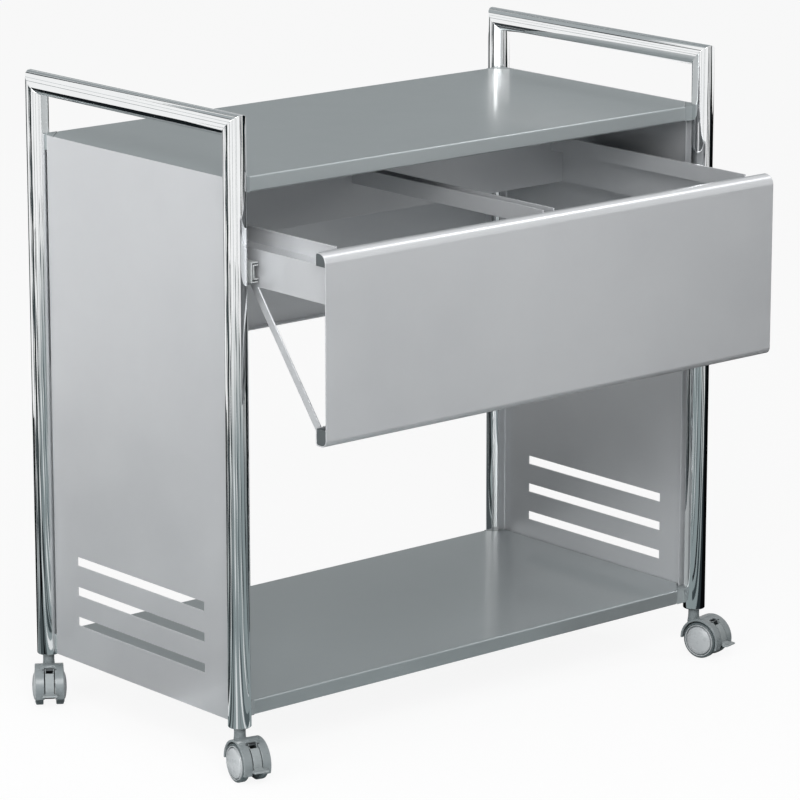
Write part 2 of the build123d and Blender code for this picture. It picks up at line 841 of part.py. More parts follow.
def brake_pin_hole():
    """A bore for the lever's pin, blind in each of the hood's bosses."""
    x, z = brake_pivot()
    half = brake_half_width + brake_side_gap + brake_pin_seat + axle_end_gap
    return rod((x, -half, z), (x, half, z), brake_pin_radius + shaft_gap)


def brake_pin():
    """The pin that the brake lever turns on, held in the hood's bosses."""
    x, z = brake_pivot()
    half = brake_half_width + brake_side_gap + brake_pin_seat
    return rod((x, -half, z), (x, half, z), brake_pin_radius)


def brake_lever():
    """A curved lever in the hood's slot with a flat pad to tread on."""
    half = brake_half_width
    band = disc(hood_radius, half) - disc(hood_radius - brake_wall, half)
    band = band & sector(hood_radius, brake_low_angle, brake_pivot_angle, half)
    x, z = brake_pivot()
    eye = rod((x, -half, z), (x, half, z), brake_eye_radius)
    _, pad_z = rim_point(hood_radius, brake_pad_angle)
    pad_x = caster_trail + hood_radius
    arm_x = (pad_x - brake_wall, pad_x + brake_arm_reach)
    arm = block(arm_x, (-half, half), (pad_z - brake_arm_height, pad_z))
    pad_x_range = (arm_x[1] - brake_wall / 2, pad_x + brake_pad_reach)
    pad_y = brake_pad_width / 2
    pad = block(pad_x_range, (-pad_y, pad_y), (pad_z - brake_pad_height, pad_z))
    pad = fillet(pad.edges().filter_by(Axis.Z).sort_by(Axis.X)[-2:], brake_pad_corner)
    lever = joined([band, eye, arm, pad])
    return lever - rod((x, -pad_y, z), (x, pad_y, z), brake_pin_radius + shaft_gap)


def caster_nodes(name, corner):
    """Every piece of one caster, by node name."""
    pieces = {
        "housing": caster_housing(),
        "stem": stem(),
        "pins": axle() + brake_pin(),
        "wheel_a": wheel(-1),
        "wheel_b": wheel(1),
        "brake": brake_lever(),
    }
    return {f"{name}_caster_{part}": place_caster(shape, corner) for part, shape in pieces.items()}


# Assembly


def frame_nodes():
    """The standing frame, its shelves, panels, outer slide rails and fasteners."""
    nodes = {}
    for name, (side, post_y, toward, _) in corners.items():
        nodes[f"{name}_post"] = post(side, post_y, toward)
    for name, side in sides.items():
        nodes[f"{name}_hand_rail"] = hand_rail(side)
        nodes[f"{name}_side_panel"] = side_panel(side)
        nodes[f"{name}_outer_slide_rail"] = outer_rail(side)
    nodes["top_shelf"] = shelf(top_shelf_z)
    nodes["lower_shelf"] = shelf(low_shelf_z)
    nodes["shelf_corner_saddles"] = saddles(top_shelf_z) + saddles(low_shelf_z)
    nodes["back_panel"] = back_panel()
    nodes["back_panel_spacers"] = back_spacers()
    nodes["frame_screws"] = shelf_screws() + back_screws() + slide_screws()
    nodes["side_panel_nuts"] = panel_nuts()
    nodes["caster_sockets"] = [socket(*corner[:3]) for corner in corners.values()]
    return nodes


def drawer_nodes():
    """The drawer and the moving parts of its slides, drawn out to the rest position."""
    nodes = {"drawer_front": drawer_front(), "drawer_front_end_caps": end_caps()}
    for name, side in sides.items():
        nodes[f"{name}_drawer_side"] = drawer_side(side)
        nodes[f"{name}_inner_slide_rail"] = inner_rail(side)
        nodes[f"{name}_drawer_brace"] = brace(side)
    nodes["drawer_back"] = drawer_back()
    nodes["centre_file_rail"] = centre_rail()
    nodes["drawer_rivets"] = rivets()
    return {name: moved(shape, 0, -drawer_out, 0) for name, shape in nodes.items()}


def slide_nodes():
    """The middle slide rails and the ball cages, at rest."""
    nodes = {f"{name}_middle_slide_rail": middle_rail(side) for name, side in sides.items()}
    nodes["outer_ball_cages"] = outer_cages()
    nodes["inner_ball_cages"] = inner_cages()
    return nodes


def moved(shape, x, y, z):
    """A shape, or each of a list of shapes, shifted."""
    if isinstance(shape, list):
        return [Pos(x, y, z) * piece for piece in shape]
    return Pos(x, y, z) * shape


def solids_of(shape):
    """The single solids of a shape or of a list of shapes."""
    pieces = shape if isinstance(shape, list) else [shape]
    return [solid for piece in pieces for solid in piece.solids()]


def build():
    """All nodes as compounds, with the origin on the floor under the middle of the whole."""
    nodes = frame_nodes() | drawer_nodes() | slide_nodes()
    for name, corner in corners.items():
        nodes |= caster_nodes(name, corner)
    solids = {name: solids_of(shape) for name, shape in nodes.items()}
    box = Compound([solid for group in solids.values() for solid in group]).bounding_box()
    shift = Pos(-box.center().X, -box.center().Y, -box.min.Z)
    return {name: Compound([shift * solid for solid in group]) for name, group in solids.items()}


os.makedirs("parts", exist_ok=True)
for node_name, node_shape in build().items():
    export_step(node_shape, f"parts/{node_name}.step")
    print(node_name, len(node_shape.solids()), round(node_shape.volume))
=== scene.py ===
"""Looks of a mobile file cart.

Chromed tube frames, powder-coated sheet, a file drawer on ball slides and twin-wheel casters.
"""

import logging
import math
from collections.abc import Callable, Sequence
from dataclasses import dataclass
from enum import Enum

import bmesh
import bpy
from mathutils import Matrix, Vector


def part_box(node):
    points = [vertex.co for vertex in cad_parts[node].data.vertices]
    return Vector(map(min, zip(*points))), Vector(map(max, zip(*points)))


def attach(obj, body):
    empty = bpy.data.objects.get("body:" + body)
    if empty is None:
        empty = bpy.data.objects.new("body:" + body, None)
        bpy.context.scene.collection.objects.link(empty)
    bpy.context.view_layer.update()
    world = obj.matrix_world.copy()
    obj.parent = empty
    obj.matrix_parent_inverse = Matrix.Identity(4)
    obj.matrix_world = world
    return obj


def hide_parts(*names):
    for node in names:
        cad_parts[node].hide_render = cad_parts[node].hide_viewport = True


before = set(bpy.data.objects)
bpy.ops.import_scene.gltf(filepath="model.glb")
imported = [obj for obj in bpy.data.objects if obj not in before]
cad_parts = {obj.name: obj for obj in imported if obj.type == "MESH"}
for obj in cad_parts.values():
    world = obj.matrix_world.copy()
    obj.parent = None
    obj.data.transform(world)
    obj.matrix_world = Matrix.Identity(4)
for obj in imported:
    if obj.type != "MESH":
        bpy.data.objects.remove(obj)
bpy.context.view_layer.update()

MM = 0.001
LOG = logging.getLogger("file_cart")
MERGE = 1e-6  # vertices nearer than this are one
ON_AXIS = 1e-7  # a smaller radius is a point on the axis
SHARP_DEG = 32.0  # faces that meet at more than this shade as an edge
BROKEN_DEG = 38.0  # faces that meet at more than this get a broken edge
FLAT_DEG = 0.5  # faces that meet at less than this are one flat
SHEET_EDGE_MM = 0.35  # deburred edge of a sheet
NOISE_REACH = (0.3, 0.7)  # nearly all values of a noise texture lie in here
Point = tuple[float, float]
Place = tuple[float, float, float]
Colour = tuple[float, float, float, float]
Mitre = Callable[[float], float] | None  # shift along a tube for a step across it, or None for a square end
Tree = bpy.types.NodeTree
Socket = bpy.types.NodeSocket


class Named(Enum):
    """Options whose names stand in the node names."""

    @property
    def word(self) -> str:
        """The option's name as it stands in the node names."""
        return self.name.lower()


class Side(Named):
    """The two sides of the cart, by the sign of X."""

    LEFT = -1
    RIGHT = 1


class Corner(Named):
    """The four posts: side, way into the cart along Y, and the caster's rest angle in degrees."""

    LEFT_FRONT = (Side.LEFT, 1, -102.0)
    LEFT_BACK = (Side.LEFT, -1, -125.0)
    RIGHT_FRONT = (Side.RIGHT, 1, -78.0)
    RIGHT_BACK = (Side.RIGHT, -1, -55.0)

    def __init__(self, side: Side, inward: int, caster_deg: float) -> None:
        """Keeps the corner's values by name."""
        self.side, self.inward, self.caster_deg = side, inward, caster_deg

    def axis(self) -> tuple[Vector, float]:
        """The point on the floor under the post's axis, and the post's radius."""
        low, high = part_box(f"{self.word}_post")
        return Vector(((low.x + high.x) / 2, (low.y + high.y) / 2, 0)), (high.x - low.x) / 2


# Shader tools


def linear(hex_colour: str) -> Colour:
    """Turns an sRGB hex value into linear red, green, blue and alpha.

    Args:
        hex_colour: six hex digits after a hash.

    Returns:
        The linear colour, with an alpha of 1.
    """
    channels = [int(hex_colour[i : i + 2], 16) / 255 for i in (1, 3, 5)]
    red, green, blue = [c / 12.92 if c <= 0.04045 else ((c + 0.055) / 1.055) ** 2.4 for c in channels]
    return (red, green, blue, 1.0)


WHITE = linear("#ffffff")


def add_node(
    tree: Tree, kind: str, settings: dict | None = None, inputs: dict | None = None
) -> bpy.types.Node:
    """Adds one node, sets its attributes, and fills or links its inputs.

    Args:
        tree: the node tree that takes the node.
        kind: Blender's name of the node type.
        settings: attribute values by name.
        inputs: values or output sockets, by input name, or by number where names repeat. A mix's two ends
            are 2 and 3 for numbers, and 6 and 7 for colours.

    Returns:
        The new node.
    """
    node = tree.nodes.new(kind)
    for name, value in (settings or {}).items():
        setattr(node, name, value)
    for name, value in (inputs or {}).items():
        if isinstance(value, Socket):
            tree.links.new(value, node.inputs[name])
        else:
            node.inputs[name].default_value = value
    return node


def bare_tree(owner: bpy.types.Material | bpy.types.World) -> Tree:
    """Switches on the nodes of a material or world.

    Args:
        owner: the material or world.

    Returns:
        Its node tree, with no node in it.
    """
    owner.use_nodes = True
    owner.node_tree.nodes.clear()
    return owner.node_tree


def per_metre(size_mm: float) -> float:
    """The texture scale that makes one cell of a pattern as large as a real size."""
    return 1.0 / (size_mm * MM)


@dataclass(frozen=True)
class Finish:
    """What every finish shares: its names, its colours and how it meets the light.

    Colour and roughness drift together over patches, and the grain is a bump.
    """

    name: str
    slot: str
    colour: str
    dark: str
    roughness: float
    roughness_spread: float
    metallic: float
    patch_mm: float
    grain_mm: float
    grain_depth_mm: float

    def material(self) -> bpy.types.Material:
        """Builds the material, unless it was built before.

        Returns:
            The material.
        """
        made = bpy.data.materials.get(self.name)
        if made:
            return made
        made = bpy.data.materials.new(self.name)
        tree = bare_tree(made)
        shader = add_node(tree, "ShaderNodeBsdfPrincipled", None, self.shader_inputs())
        self.wire(tree, shader)
        add_node(tree, "ShaderNodeOutputMaterial", None, {"Surface": shader.outputs[0]})
        return made

    def shader_inputs(self) -> dict:
        """Constants on the shader's own sockets."""
        return {"Metallic": self.metallic}

    def wire(self, tree: Tree, shader: bpy.types.Node) -> None:
        """Links colour, roughness and bump to the shader.

        Args:
            tree: the material's node tree.
            shader: its Principled shader.
        """
        place = add_node(tree, "ShaderNodeTexCoord").outputs["Object"]
        patch = add_node(
            tree, "ShaderNodeTexNoise", None,
            {"Vector": place, "Scale": per_metre(self.patch_mm), "Detail": 4.0, "Roughness": 0.6},
        ).outputs["Fac"]
        colour = add_node(
            tree, "ShaderNodeMix", {"data_type": "RGBA"},
            {0: patch, 6: linear(self.dark), 7: linear(self.colour)},
        )
        low, high = self.roughness - self.roughness_spread, self.roughness + self.roughness_spread
        rough = add_node(
            tree, "ShaderNodeMapRange", None,
            {
                "Value": patch, "From Min": NOISE_REACH[0], "From Max": NOISE_REACH[1],
                "To Min": low, "To Max": high,
            },
        )
        tree.links.new(colour.outputs[2], shader.inputs["Base Color"])
        tree.links.new(rough.outputs[0], shader.inputs["Roughness"])
        tree.links.new(self.bump(tree, place), shader.inputs["Normal"])

    def height(self, tree: Tree, place: Socket) -> Socket:
        """The height of the surface's grain, from 0 to 1."""
        inputs = {"Vector": place, "Scale": per_metre(self.grain_mm), "Detail": 2.0}
        return add_node(tree, "ShaderNodeTexNoise", None, inputs).outputs["Fac"]

    def bump(self, tree: Tree, place: Socket) -> Socket:
        """The surface's grain as a bumped normal."""
        inputs = {"Height": self.height(tree, place), "Distance": self.grain_depth_mm * MM, "Strength": 1.0}
        return add_node(tree, "ShaderNodeBump", None, inputs).outputs[0]


@dataclass(frozen=True)
class Plate(Finish):
    """A metal surface, plated or blackened."""

    roughness_spread: float = 0.06
    metallic: float = 1.0
    patch_mm: float = 9.0
    grain_mm: float = 3.0
    grain_depth_mm: float = 0.001


@dataclass(frozen=True)
class PowderCoat(Finish):
    """Silver powder coat, sprayed and baked: a soft sheen over fine metal flakes, and a faint orange peel."""

    roughness_spread: float = 0.03
    metallic: float = 0.55
    patch_mm: float = 90.0
    grain_mm: float = 3.0
    grain_depth_mm: float = 0.010
    binder: float = 0.45
    binder_roughness: float = 0.12
    flake_mm: float = 1.6
    flake_share: float = 0.35

    def shader_inputs(self) -> dict:
        """A clear binder lies over the flakes."""
        return super().shader_inputs() | {"Coat Weight": self.binder, "Coat Roughness": self.binder_roughness}

    def height(self, tree: Tree, place: Socket) -> Socket:
        """Orange peel with the flakes on it. The flakes are drawn coarser than life, so that they show.

        Args:
            tree: the material's node tree.
            place: the object coordinates.

        Returns:
            The height, from 0 to 1.
        """
        flakes = add_node(
            tree, "ShaderNodeTexVoronoi", None, {"Vector": place, "Scale": per_metre(self.flake_mm)}
        )
        inputs = {0: self.flake_share, 2: super().height(tree, place), 3: flakes.outputs["Distance"]}
        return add_node(tree, "ShaderNodeMix", {"data_type": "FLOAT"}, inputs).outputs[0]


@dataclass(frozen=True)
class Nylon(Finish):
    """Nylon, moulded in a tool with a fine grain."""

    roughness_spread: float = 0.06
    metallic: float = 0.0
    patch_mm: float = 16.0
    grain_mm: float = 0.8
    grain_depth_mm: float = 0.015


@dataclass(frozen=True)
class RibbedNylon(Nylon):
    """Nylon moulded with fine level ribs, for a shoe to grip."""

    rib_mm: float = 1.6
    rib_depth_mm: float = 0.18

    def bump(self, tree: Tree, place: Socket) -> Socket:
        """The grain, with level ribs over it.

        Args:
            tree: the material's node tree.
            place: the object coordinates.

        Returns:
            The bumped normal.
        """
        waves_per_scale = 20.0 / (2 * math.pi)
        ribs = add_node(
            tree, "ShaderNodeTexWave", {"bands_direction": "Z", "wave_profile": "SIN"},
            {"Vector": place, "Scale": per_metre(self.rib_mm) / waves_per_scale},
        )
        inputs = {
            "Height": ribs.outputs["Fac"], "Normal": super().bump(tree, place),
            "Distance": self.rib_depth_mm * MM, "Strength": 1.0,
        }
        return add_node(tree, "ShaderNodeBump", None, inputs).outputs[0]


# Chromium plate, polished: a near mirror with faint handling haze.
CHROME = Plate(
    "chrome_plate_polished", "chrome_tube", "#f4f5f5", "#e9ebec", 0.035, 0.015,
    patch_mm=60.0, grain_mm=18.0, grain_depth_mm=0.002,
)
# Powder coat on sheet: flakes give the grey its lift, the binder its soft sheen.
SILVER = PowderCoat("silver_powder_coat_baked", "silver_paint", "#c6c8ca", "#bec0c3", 0.36)
# The shelves' coat, greener than the panels', and darker: the darkening is painted shade for the weaker light
# on the shelves.
SHADED_SHELF_SILVER = PowderCoat("shelf_powder_coat_shaded", "silver_paint", "#a1a8aa", "#9aa1a3", 0.34)
# Bright zinc, dipped: slightly cloudy.
ZINC = Plate("zinc_plate_bright", "zinc_steel", "#c9cbca", "#a9aba8", 0.28, 0.08)
# Steel pins, blackened: nearly dull.
PIN_STEEL = Plate(
    "pin_steel_blackened", "zinc_steel", "#4b4f51", "#3c4042", 0.45, metallic=0.8, patch_mm=8.0, grain_mm=2.0
)
# Rolled rail steel with passivated zinc: satin, so that it keeps an even grey.
RAIL_ZINC = Plate(
    "rail_zinc_passivated", "zinc_steel", "#d2d4d4", "#c3c6c6", 0.46, 0.05,
    metallic=0.7, patch_mm=12.0, grain_depth_mm=0.002,
)
# Dark nylon, moulded with a coarser grain that keeps it dull.
DARK_NYLON = Nylon(
    "dark_nylon_moulded", "dark_plastic", "#4a5052", "#3f4446", 0.48, patch_mm=20.0, grain_depth_mm=0.02
)
# The same, coloured to go with the shelves.
SADDLE_NYLON = Nylon(
    "grey_nylon_saddle_moulded", "dark_plastic", "#8b9294", "#838a8c", 0.45,
    patch_mm=20.0, grain_depth_mm=0.02,
)
# Grey nylon from a satin tool: a soft highlight along the hood.
GREY_NYLON = Nylon(
    "grey_nylon_moulded", "caster_plastic", "#7c8385", "#72797b", 0.30, 0.05, grain_depth_mm=0.010
)
# The brake lever's nylon, paler, with ribs for the shoe.
BRAKE_NYLON = RibbedNylon("grey_brake_nylon_moulded", "caster_plastic", "#8b9294", "#828889", 0.40)
# The carrier between the wheels is a real part; its dull near black is painted shade for the deep hole
# between the wheels.
SHADE_CORE_NYLON = Nylon("core_nylon_painted_shade", "dark_plastic", "#1c2022", "#15181a", 0.55, 0.05)
# The wheels' running face, darker and dull.
TREAD_NYLON = Nylon(
    "wheel_tread_nylon_moulded", "wheel_plastic", "#566062", "#4b5456", 0.50, patch_mm=14.0, grain_mm=0.9
)
# The wheels' pale discs, from a satin tool: a broad highlight on the dome.
WHEEL_NYLON = Nylon(
    "grey_wheel_nylon_moulded", "wheel_plastic", "#acb0b2", "#a3a7a9", 0.30, 0.05,
    patch_mm=14.0, grain_mm=0.9, grain_depth_mm=0.010,
)


# Mesh tools


def turns(count: int) -> list[float]:
    """The angles of equal steps once round, in radians."""
    return [2 * math.pi * i / count for i in range(count)]


def bent(points: Sequence[Point], radii: Sequence[float], steps: int) -> list[Vector]:
    """An open path with its inner corners turned to arcs.

    Args:
        points: the corners of the path.
        radii: one radius for each inner corner, and 0 for a corner that stays sharp.
        steps: straight pieces in each arc.

    Returns:
        The points of the path.
    """
    path = [Vector(points[0])]
    for before, corner, after, radius in zip(points, points[1:], points[2:], radii):
        corner = Vector(corner)
        if radius == 0:
            path.append(corner)
            continue
        to_before = (Vector(before) - corner).normalized()
        to_after = (Vector(after) - corner).normalized()
        half = to_before.angle(to_after) / 2
        reach = radius / math.tan(half)
        centre = corner + (to_before + to_after).normalized() * (radius / math.sin(half))
        start = corner + to_before * reach - centre
        end = corner + to_after * reach - centre
        path += [centre + start.slerp(end, step / steps).normalized() * radius for step in range(steps + 1)]
    path.append(Vector(points[-1]))
    return path


def linked(name: str, data: bpy.types.ID) -> bpy.types.Object:
    """Makes an object and puts it in the scene.

    Args:
        name: the object's name.
        data: its mesh, camera or lamp.

    Returns:
        The object.
    """
    obj = bpy.data.objects.new(name, data)
    bpy.context.scene.collection.objects.link(obj)
    return obj


def plain_mesh(name: str, mesh: bmesh.types.BMesh) -> bpy.types.Mesh:
    """Keeps a worked mesh as mesh data.

    Args:
        name: the data's name.
        mesh: the mesh, which is freed.

    Returns:
        The data.
    """
    data = bpy.data.meshes.new(name)
    mesh.to_mesh(data)
    mesh.free()
    return data


def smoothed(data: bpy.types.Mesh) -> bpy.types.Mesh:
    """Shades a mesh smooth, apart from its edges.

    Args:
        data: the mesh.

    Returns:
        The same mesh.
    """
    data.polygons.foreach_set("use_smooth", [True] * len(data.polygons))
    data.set_sharp_from_angle(angle=math.radians(SHARP_DEG))
    return data


def merged_copy(node: str) -> bmesh.types.BMesh:
    """Copies a CAD node's mesh and joins its loose triangles.

    Args:
        node: the node's name.

    Returns:
        The copy.
    """
    mesh = bmesh.new()
    mesh.from_mesh(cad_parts[node].data)
    bmesh.ops.remove_doubles(mesh, verts=mesh.verts, dist=MERGE)
    return mesh


def mesh_object(name: str, mesh: bmesh.types.BMesh, closed: bool = True) -> bpy.types.Object:
    """Makes an object of a finished mesh, with its place in the mesh.

    Args:
        name: the object's name.
        mesh: the mesh, which is freed.
        closed: whether its faces can be turned outwards here.

    Returns:
        The object, smooth shaded.
    """
    bmesh.ops.remove_doubles(mesh, verts=mesh.verts, dist=MERGE)
    if closed:
        bmesh.ops.recalc_face_normals(mesh, faces=mesh.faces)
    return linked(name, smoothed(plain_mesh(name, mesh)))


def skin(mesh: bmesh.types.BMesh, rings: Sequence[Sequence[bmesh.types.BMVert]]) -> None:
    """Puts faces between closed rings of vertices.

    Args:
        mesh: the mesh that takes the faces.
        rings: the rings, each joined to the next. A ring at a point has one vertex many times.
    """
    for low, high in zip(rings, rings[1:]):
        for i in range(len(low)):
            j = (i + 1) % len(low)
            corners = list(dict.fromkeys((low[i], low[j], high[j], high[i])))
            if len(corners) > 2:
                mesh.faces.new(corners)


def soften(obj: bpy.types.Object, width_mm: float, segments: int = 2) -> bpy.types.Object:
    """Breaks an object's sharp edges as pressing, deburring or moulding does.

    Args:
        obj: the object.
        width_mm: width of the broken edge.
        segments: faces across it.

    Returns:
        The same object.
    """
    bevel = obj.modifiers.new("broken_edges", "BEVEL")
    bevel.width = width_mm * MM
    bevel.segments = segments
    bevel.limit_method = "ANGLE"
    bevel.angle_limit = math.radians(BROKEN_DEG)
    bevel.use_clamp_overlap = True
    bevel.miter_outer = "MITER_ARC"
    normals = obj.modifiers.new("flat_faces", "WEIGHTED_NORMAL")
    normals.keep_sharp = True
    return obj


def refined(node: str, name: str, width_mm: float) -> bpy.types.Object:
    """A merged copy of a CAD node with its edges broken.

    Args:
        node: the CAD node.
        name: the new object's name.
        width_mm: width of the broken edges.

    Returns:
        The new object.
    """
    mesh = merged_copy(node)
    bmesh.ops.dissolve_limit(mesh, angle_limit=math.radians(FLAT_DEG), verts=mesh.verts, edges=mesh.edges)
    obj = mesh_object(name, mesh)
    for stale in ("custom_normal", "sharp_face"):
        if stale in obj.data.attributes:
            obj.data.attributes.remove(obj.data.attributes[stale])
    return soften(obj, width_mm)


def swept_sheet(
    name: str,
    path: Sequence[Vector],
    stations: Sequence[float],
    place: Callable[[Vector, float], Vector],
    thickness: float,
    gone: Callable[[Vector, float], bool] = lambda middle, station: False,
) -> bpy.types.Object:
    """A bent sheet: its middle line swept along stations, with cells left out and a wall put on.

    Args:
        name: the object's name.
        path: the middle line of the sheet's section.
        stations: places along the sweep.
        place: turns a point of the section and a station into a place in space.
        thickness: the sheet's thickness.
        gone: says which cells are cut out, by the cell's middle.

    Returns:
        The new object.
    """
    mesh = bmesh.new()
    rows = [[mesh.verts.new(place(point, station)) for station in stations] for point in path]
    for i, (point, following) in enumerate(zip(path, path[1:])):
        for j, (station, later) in enumerate(zip(stations, stations[1:])):
            if not gone((point + following) / 2, (station + later) / 2):
                mesh.faces.new((rows[i][j], rows[i + 1][j], rows[i + 1][j + 1], rows[i][j + 1]))
    bmesh.ops.delete(mesh, geom=[v for v in mesh.verts if not v.link_faces], context="VERTS")
    return walled(mesh_object(name, mesh, closed=False), thickness)


def walled(obj: bpy.types.Object, thickness: float) -> bpy.types.Object:
    """Gives a middle surface its wall, half to each side, and breaks the edges.

    Args:
        obj: the surface.
        thickness: the wall's thickness.

    Returns:
        The same object.
    """
    wall = obj.modifiers.new("sheet", "SOLIDIFY")
    wall.thickness = thickness
    wall.offset = 0.0
    wall.use_even_offset = True
    return soften(obj, SHEET_EDGE_MM)


def lathe(name: str, profile: Sequence[Point], segments: int, to_place: Matrix) -> bpy.types.Object:
    """A turned piece about local Z.

    Args:
        name: the object's name.
        profile: radius and height, from the axis or rim round to where it ends.
        segments: faces round the axis.
        to_place: carries the piece from local axes to its place.

    Returns:
        The new object.
    """
    mesh = bmesh.new()
    rings = []
    for radius, height in profile:
        if radius < ON_AXIS:
            rings.append([mesh.verts.new((0, 0, height))] * segments)
        else:
            around = [(radius * math.cos(turn), radius * math.sin(turn), height) for turn in turns(segments)]
            rings.append([mesh.verts.new(point) for point in around])
    skin(mesh, rings)
    mesh.transform(to_place)
    return mesh_object(name, mesh)


def prism(name: str, outline: Sequence[Vector], half_width: float, to_place: Matrix) -> bpy.types.Object:
    """A flat shape in the local XZ plane, drawn out to both sides along Y.

    Args:
        name: the object's name.
        outline: the shape's corners, X and Z.
        half_width: how far it reaches to each side.
        to_place: carries the piece from local axes to its place.

    Returns:
        The new object.
    """
    mesh = bmesh.new()
    rings = [[mesh.verts.new((p.x, y, p.y)) for p in outline] for y in (-half_width, half_width)]
    for ring in rings:
        mesh.faces.new(ring)
    skin(mesh, rings)
    mesh.transform(to_place)
    return mesh_object(name, mesh)


def fused(name: str, parts: Sequence[bpy.types.Object]) -> bpy.types.Object:
    """Puts the finished meshes of several objects into one.

    Args:
        name: the new object's name.
        parts: the objects, which are removed.

    Returns:
        The new object.
    """
    mesh = bmesh.new()
    graph = bpy.context.evaluated_depsgraph_get()
    for part in parts:
        data = bpy.data.meshes.new_from_object(part.evaluated_get(graph))
        mesh.from_mesh(data)
        bpy.data.meshes.remove(data)
    for part in parts:
        bpy.data.objects.remove(part)
    return linked(name, plain_mesh(name, mesh))


def coat(data: bpy.types.Mesh, finish: Finish) -> None:
    """Gives a mesh one finish in place of what it had."""
    data.materials.clear()
    data.materials.append(finish.material())


def dress(obj: bpy.types.Object, finish: Finish, body: str, *nodes: str) -> None:
    """Gives a piece its finish, body and the CAD nodes that it stands for.

    Args:
        obj: the piece.
        finish: its finish.
        body: the CAD body that it rides on.
        nodes: the CAD nodes that it replaces.
    """
    coat(obj.data, finish)
    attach(obj, body)
    if nodes:
        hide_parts(*nodes)
    LOG.info("%s on %s in %s", obj.name, body, finish.name)


# Repeated pieces, made by node trees


def new_tree(name: str, numbers: dict[str, float]) -> Tree:
    """Starts a geometry tree with its inputs.

    Args:
        name: the tree's name.
        numbers: names and first values of its number inputs. An int makes a whole number.

    Returns:
        The tree, with a geometry input and output and a finish too.
    """
    tree = bpy.data.node_groups.new(name, "GeometryNodeTree")
    for way in ("INPUT", "OUTPUT"):
        tree.interface.new_socket("Geometry", in_out=way, socket_type="NodeSocketGeometry")
    for label, value in numbers.items():
        kind = "NodeSocketInt" if isinstance(value, int) else "NodeSocketFloat"
        tree.interface.new_socket(label, in_out="INPUT", socket_type=kind).default_value = value
    tree.interface.new_socket("Finish", in_out="INPUT", socket_type="NodeSocketMaterial")
    return tree


def close_tree(tree: Tree, source: bpy.types.Node, geometry: Socket) -> None:
    """Ends a tree: instances made real, the finish, and out.

    Args:
        tree: the tree.
        source: its group input.
        geometry: what the tree has made.
    """
    real = add_node(tree, "GeometryNodeRealizeInstances", None, {"Geometry": geometry})
    finished = add_node(
        tree, "GeometryNodeSetMaterial", None,
        {"Geometry": real.outputs[0], "Material": source.outputs["Finish"]},
    )
    add_node(tree, "NodeGroupOutput", None, {0: finished.outputs[0]})


def grown(name: str, tree: Tree, base: bpy.types.Mesh, values: dict) -> bpy.types.Object:
    """Runs a tree on a base mesh and keeps the result as a plain mesh.

    Args:
        name: the new object's name.
        tree: the geometry tree.
        base: the mesh that the tree starts from.
        values: the tree's inputs by name.

    Returns:
        The new object, with no modifier.
    """
    seed = linked(name + "_seed", base)
    modifier = seed.modifiers.new("grow", "NODES")
    modifier.node_group = tree
    for item in tree.interface.items_tree:
        if item.in_out == "INPUT" and item.name in values:
            modifier[item.identifier] = values[item.name]
    bpy.context.view_layer.update()
    graph = bpy.context.evaluated_depsgraph_get()
    data = bpy.data.meshes.new_from_object(seed.evaluated_get(graph))
    data.name = name
    bpy.data.objects.remove(seed)
    return linked(name, smoothed(data))


def points_mesh(name: str, points: Sequence[Vector]) -> bpy.types.Mesh:
    """Makes a mesh of loose points for a tree to start from.

    Args:
        name: the mesh's name.
        points: the points.

    Returns:
        The mesh.
    """
    mesh = bpy.data.meshes.new(name)
    mesh.from_pydata(points, [], [])
    return mesh


def ball_row_tree() -> Tree:
    """Builds a tree that sets a row of balls along Y from each vertex of the base mesh.

    Returns:
        The tree.
    """
    tree = new_tree("ball_row", {"Balls": 6, "Pitch": 0.025, "Ball Radius": 0.00115})
    source = add_node(tree, "NodeGroupInput")
    size = source.outputs
    step = add_node(tree, "ShaderNodeCombineXYZ", None, {"Y": size["Pitch"]})
    line = add_node(
        tree, "GeometryNodeMeshLine", {"mode": "OFFSET"}, {"Count": size["Balls"], "Offset": step.outputs[0]}
    )
    ball = add_node(
        tree, "GeometryNodeMeshUVSphere", None, {"Segments": 14, "Rings": 8, "Radius": size["Ball Radius"]}
    )
    made = add_node(tree, "GeometryNodeSetShadeSmooth", None, {0: ball.outputs[0]})
    for points in (line.outputs[0], source.outputs[0]):
        made = add_node(
            tree, "GeometryNodeInstanceOnPoints", None, {"Points": points, "Instance": made.outputs[0]}
        )
    close_tree(tree, source, made.outputs[0])
    return tree


def block(
    tree: Tree, sides: Socket, radii: tuple[Socket, Socket], depth: Socket, lift: Socket | float
) -> Socket:
    """Adds a round or many-sided block that stands on the Z axis.

    Args:
        tree: the tree.
        sides: how many sides it has.
        radii: its radius at the foot and at the top.
        depth: how high it is.
        lift: the height of its foot.

    Returns:
        The block's geometry.
    """
    foot, top = radii
    cone = add_node(
        tree, "GeometryNodeMeshCone", {"fill_type": "NGON"},
        {"Vertices": sides, "Radius Top": top, "Radius Bottom": foot, "Depth": depth},
    )
    place = add_node(tree, "ShaderNodeCombineXYZ", None, {"Z": lift})
    moved = add_node(
        tree, "GeometryNodeTransform", None, {"Geometry": cone.outputs[0], "Translation": place.outputs[0]}
    )
    return moved.outputs[0]


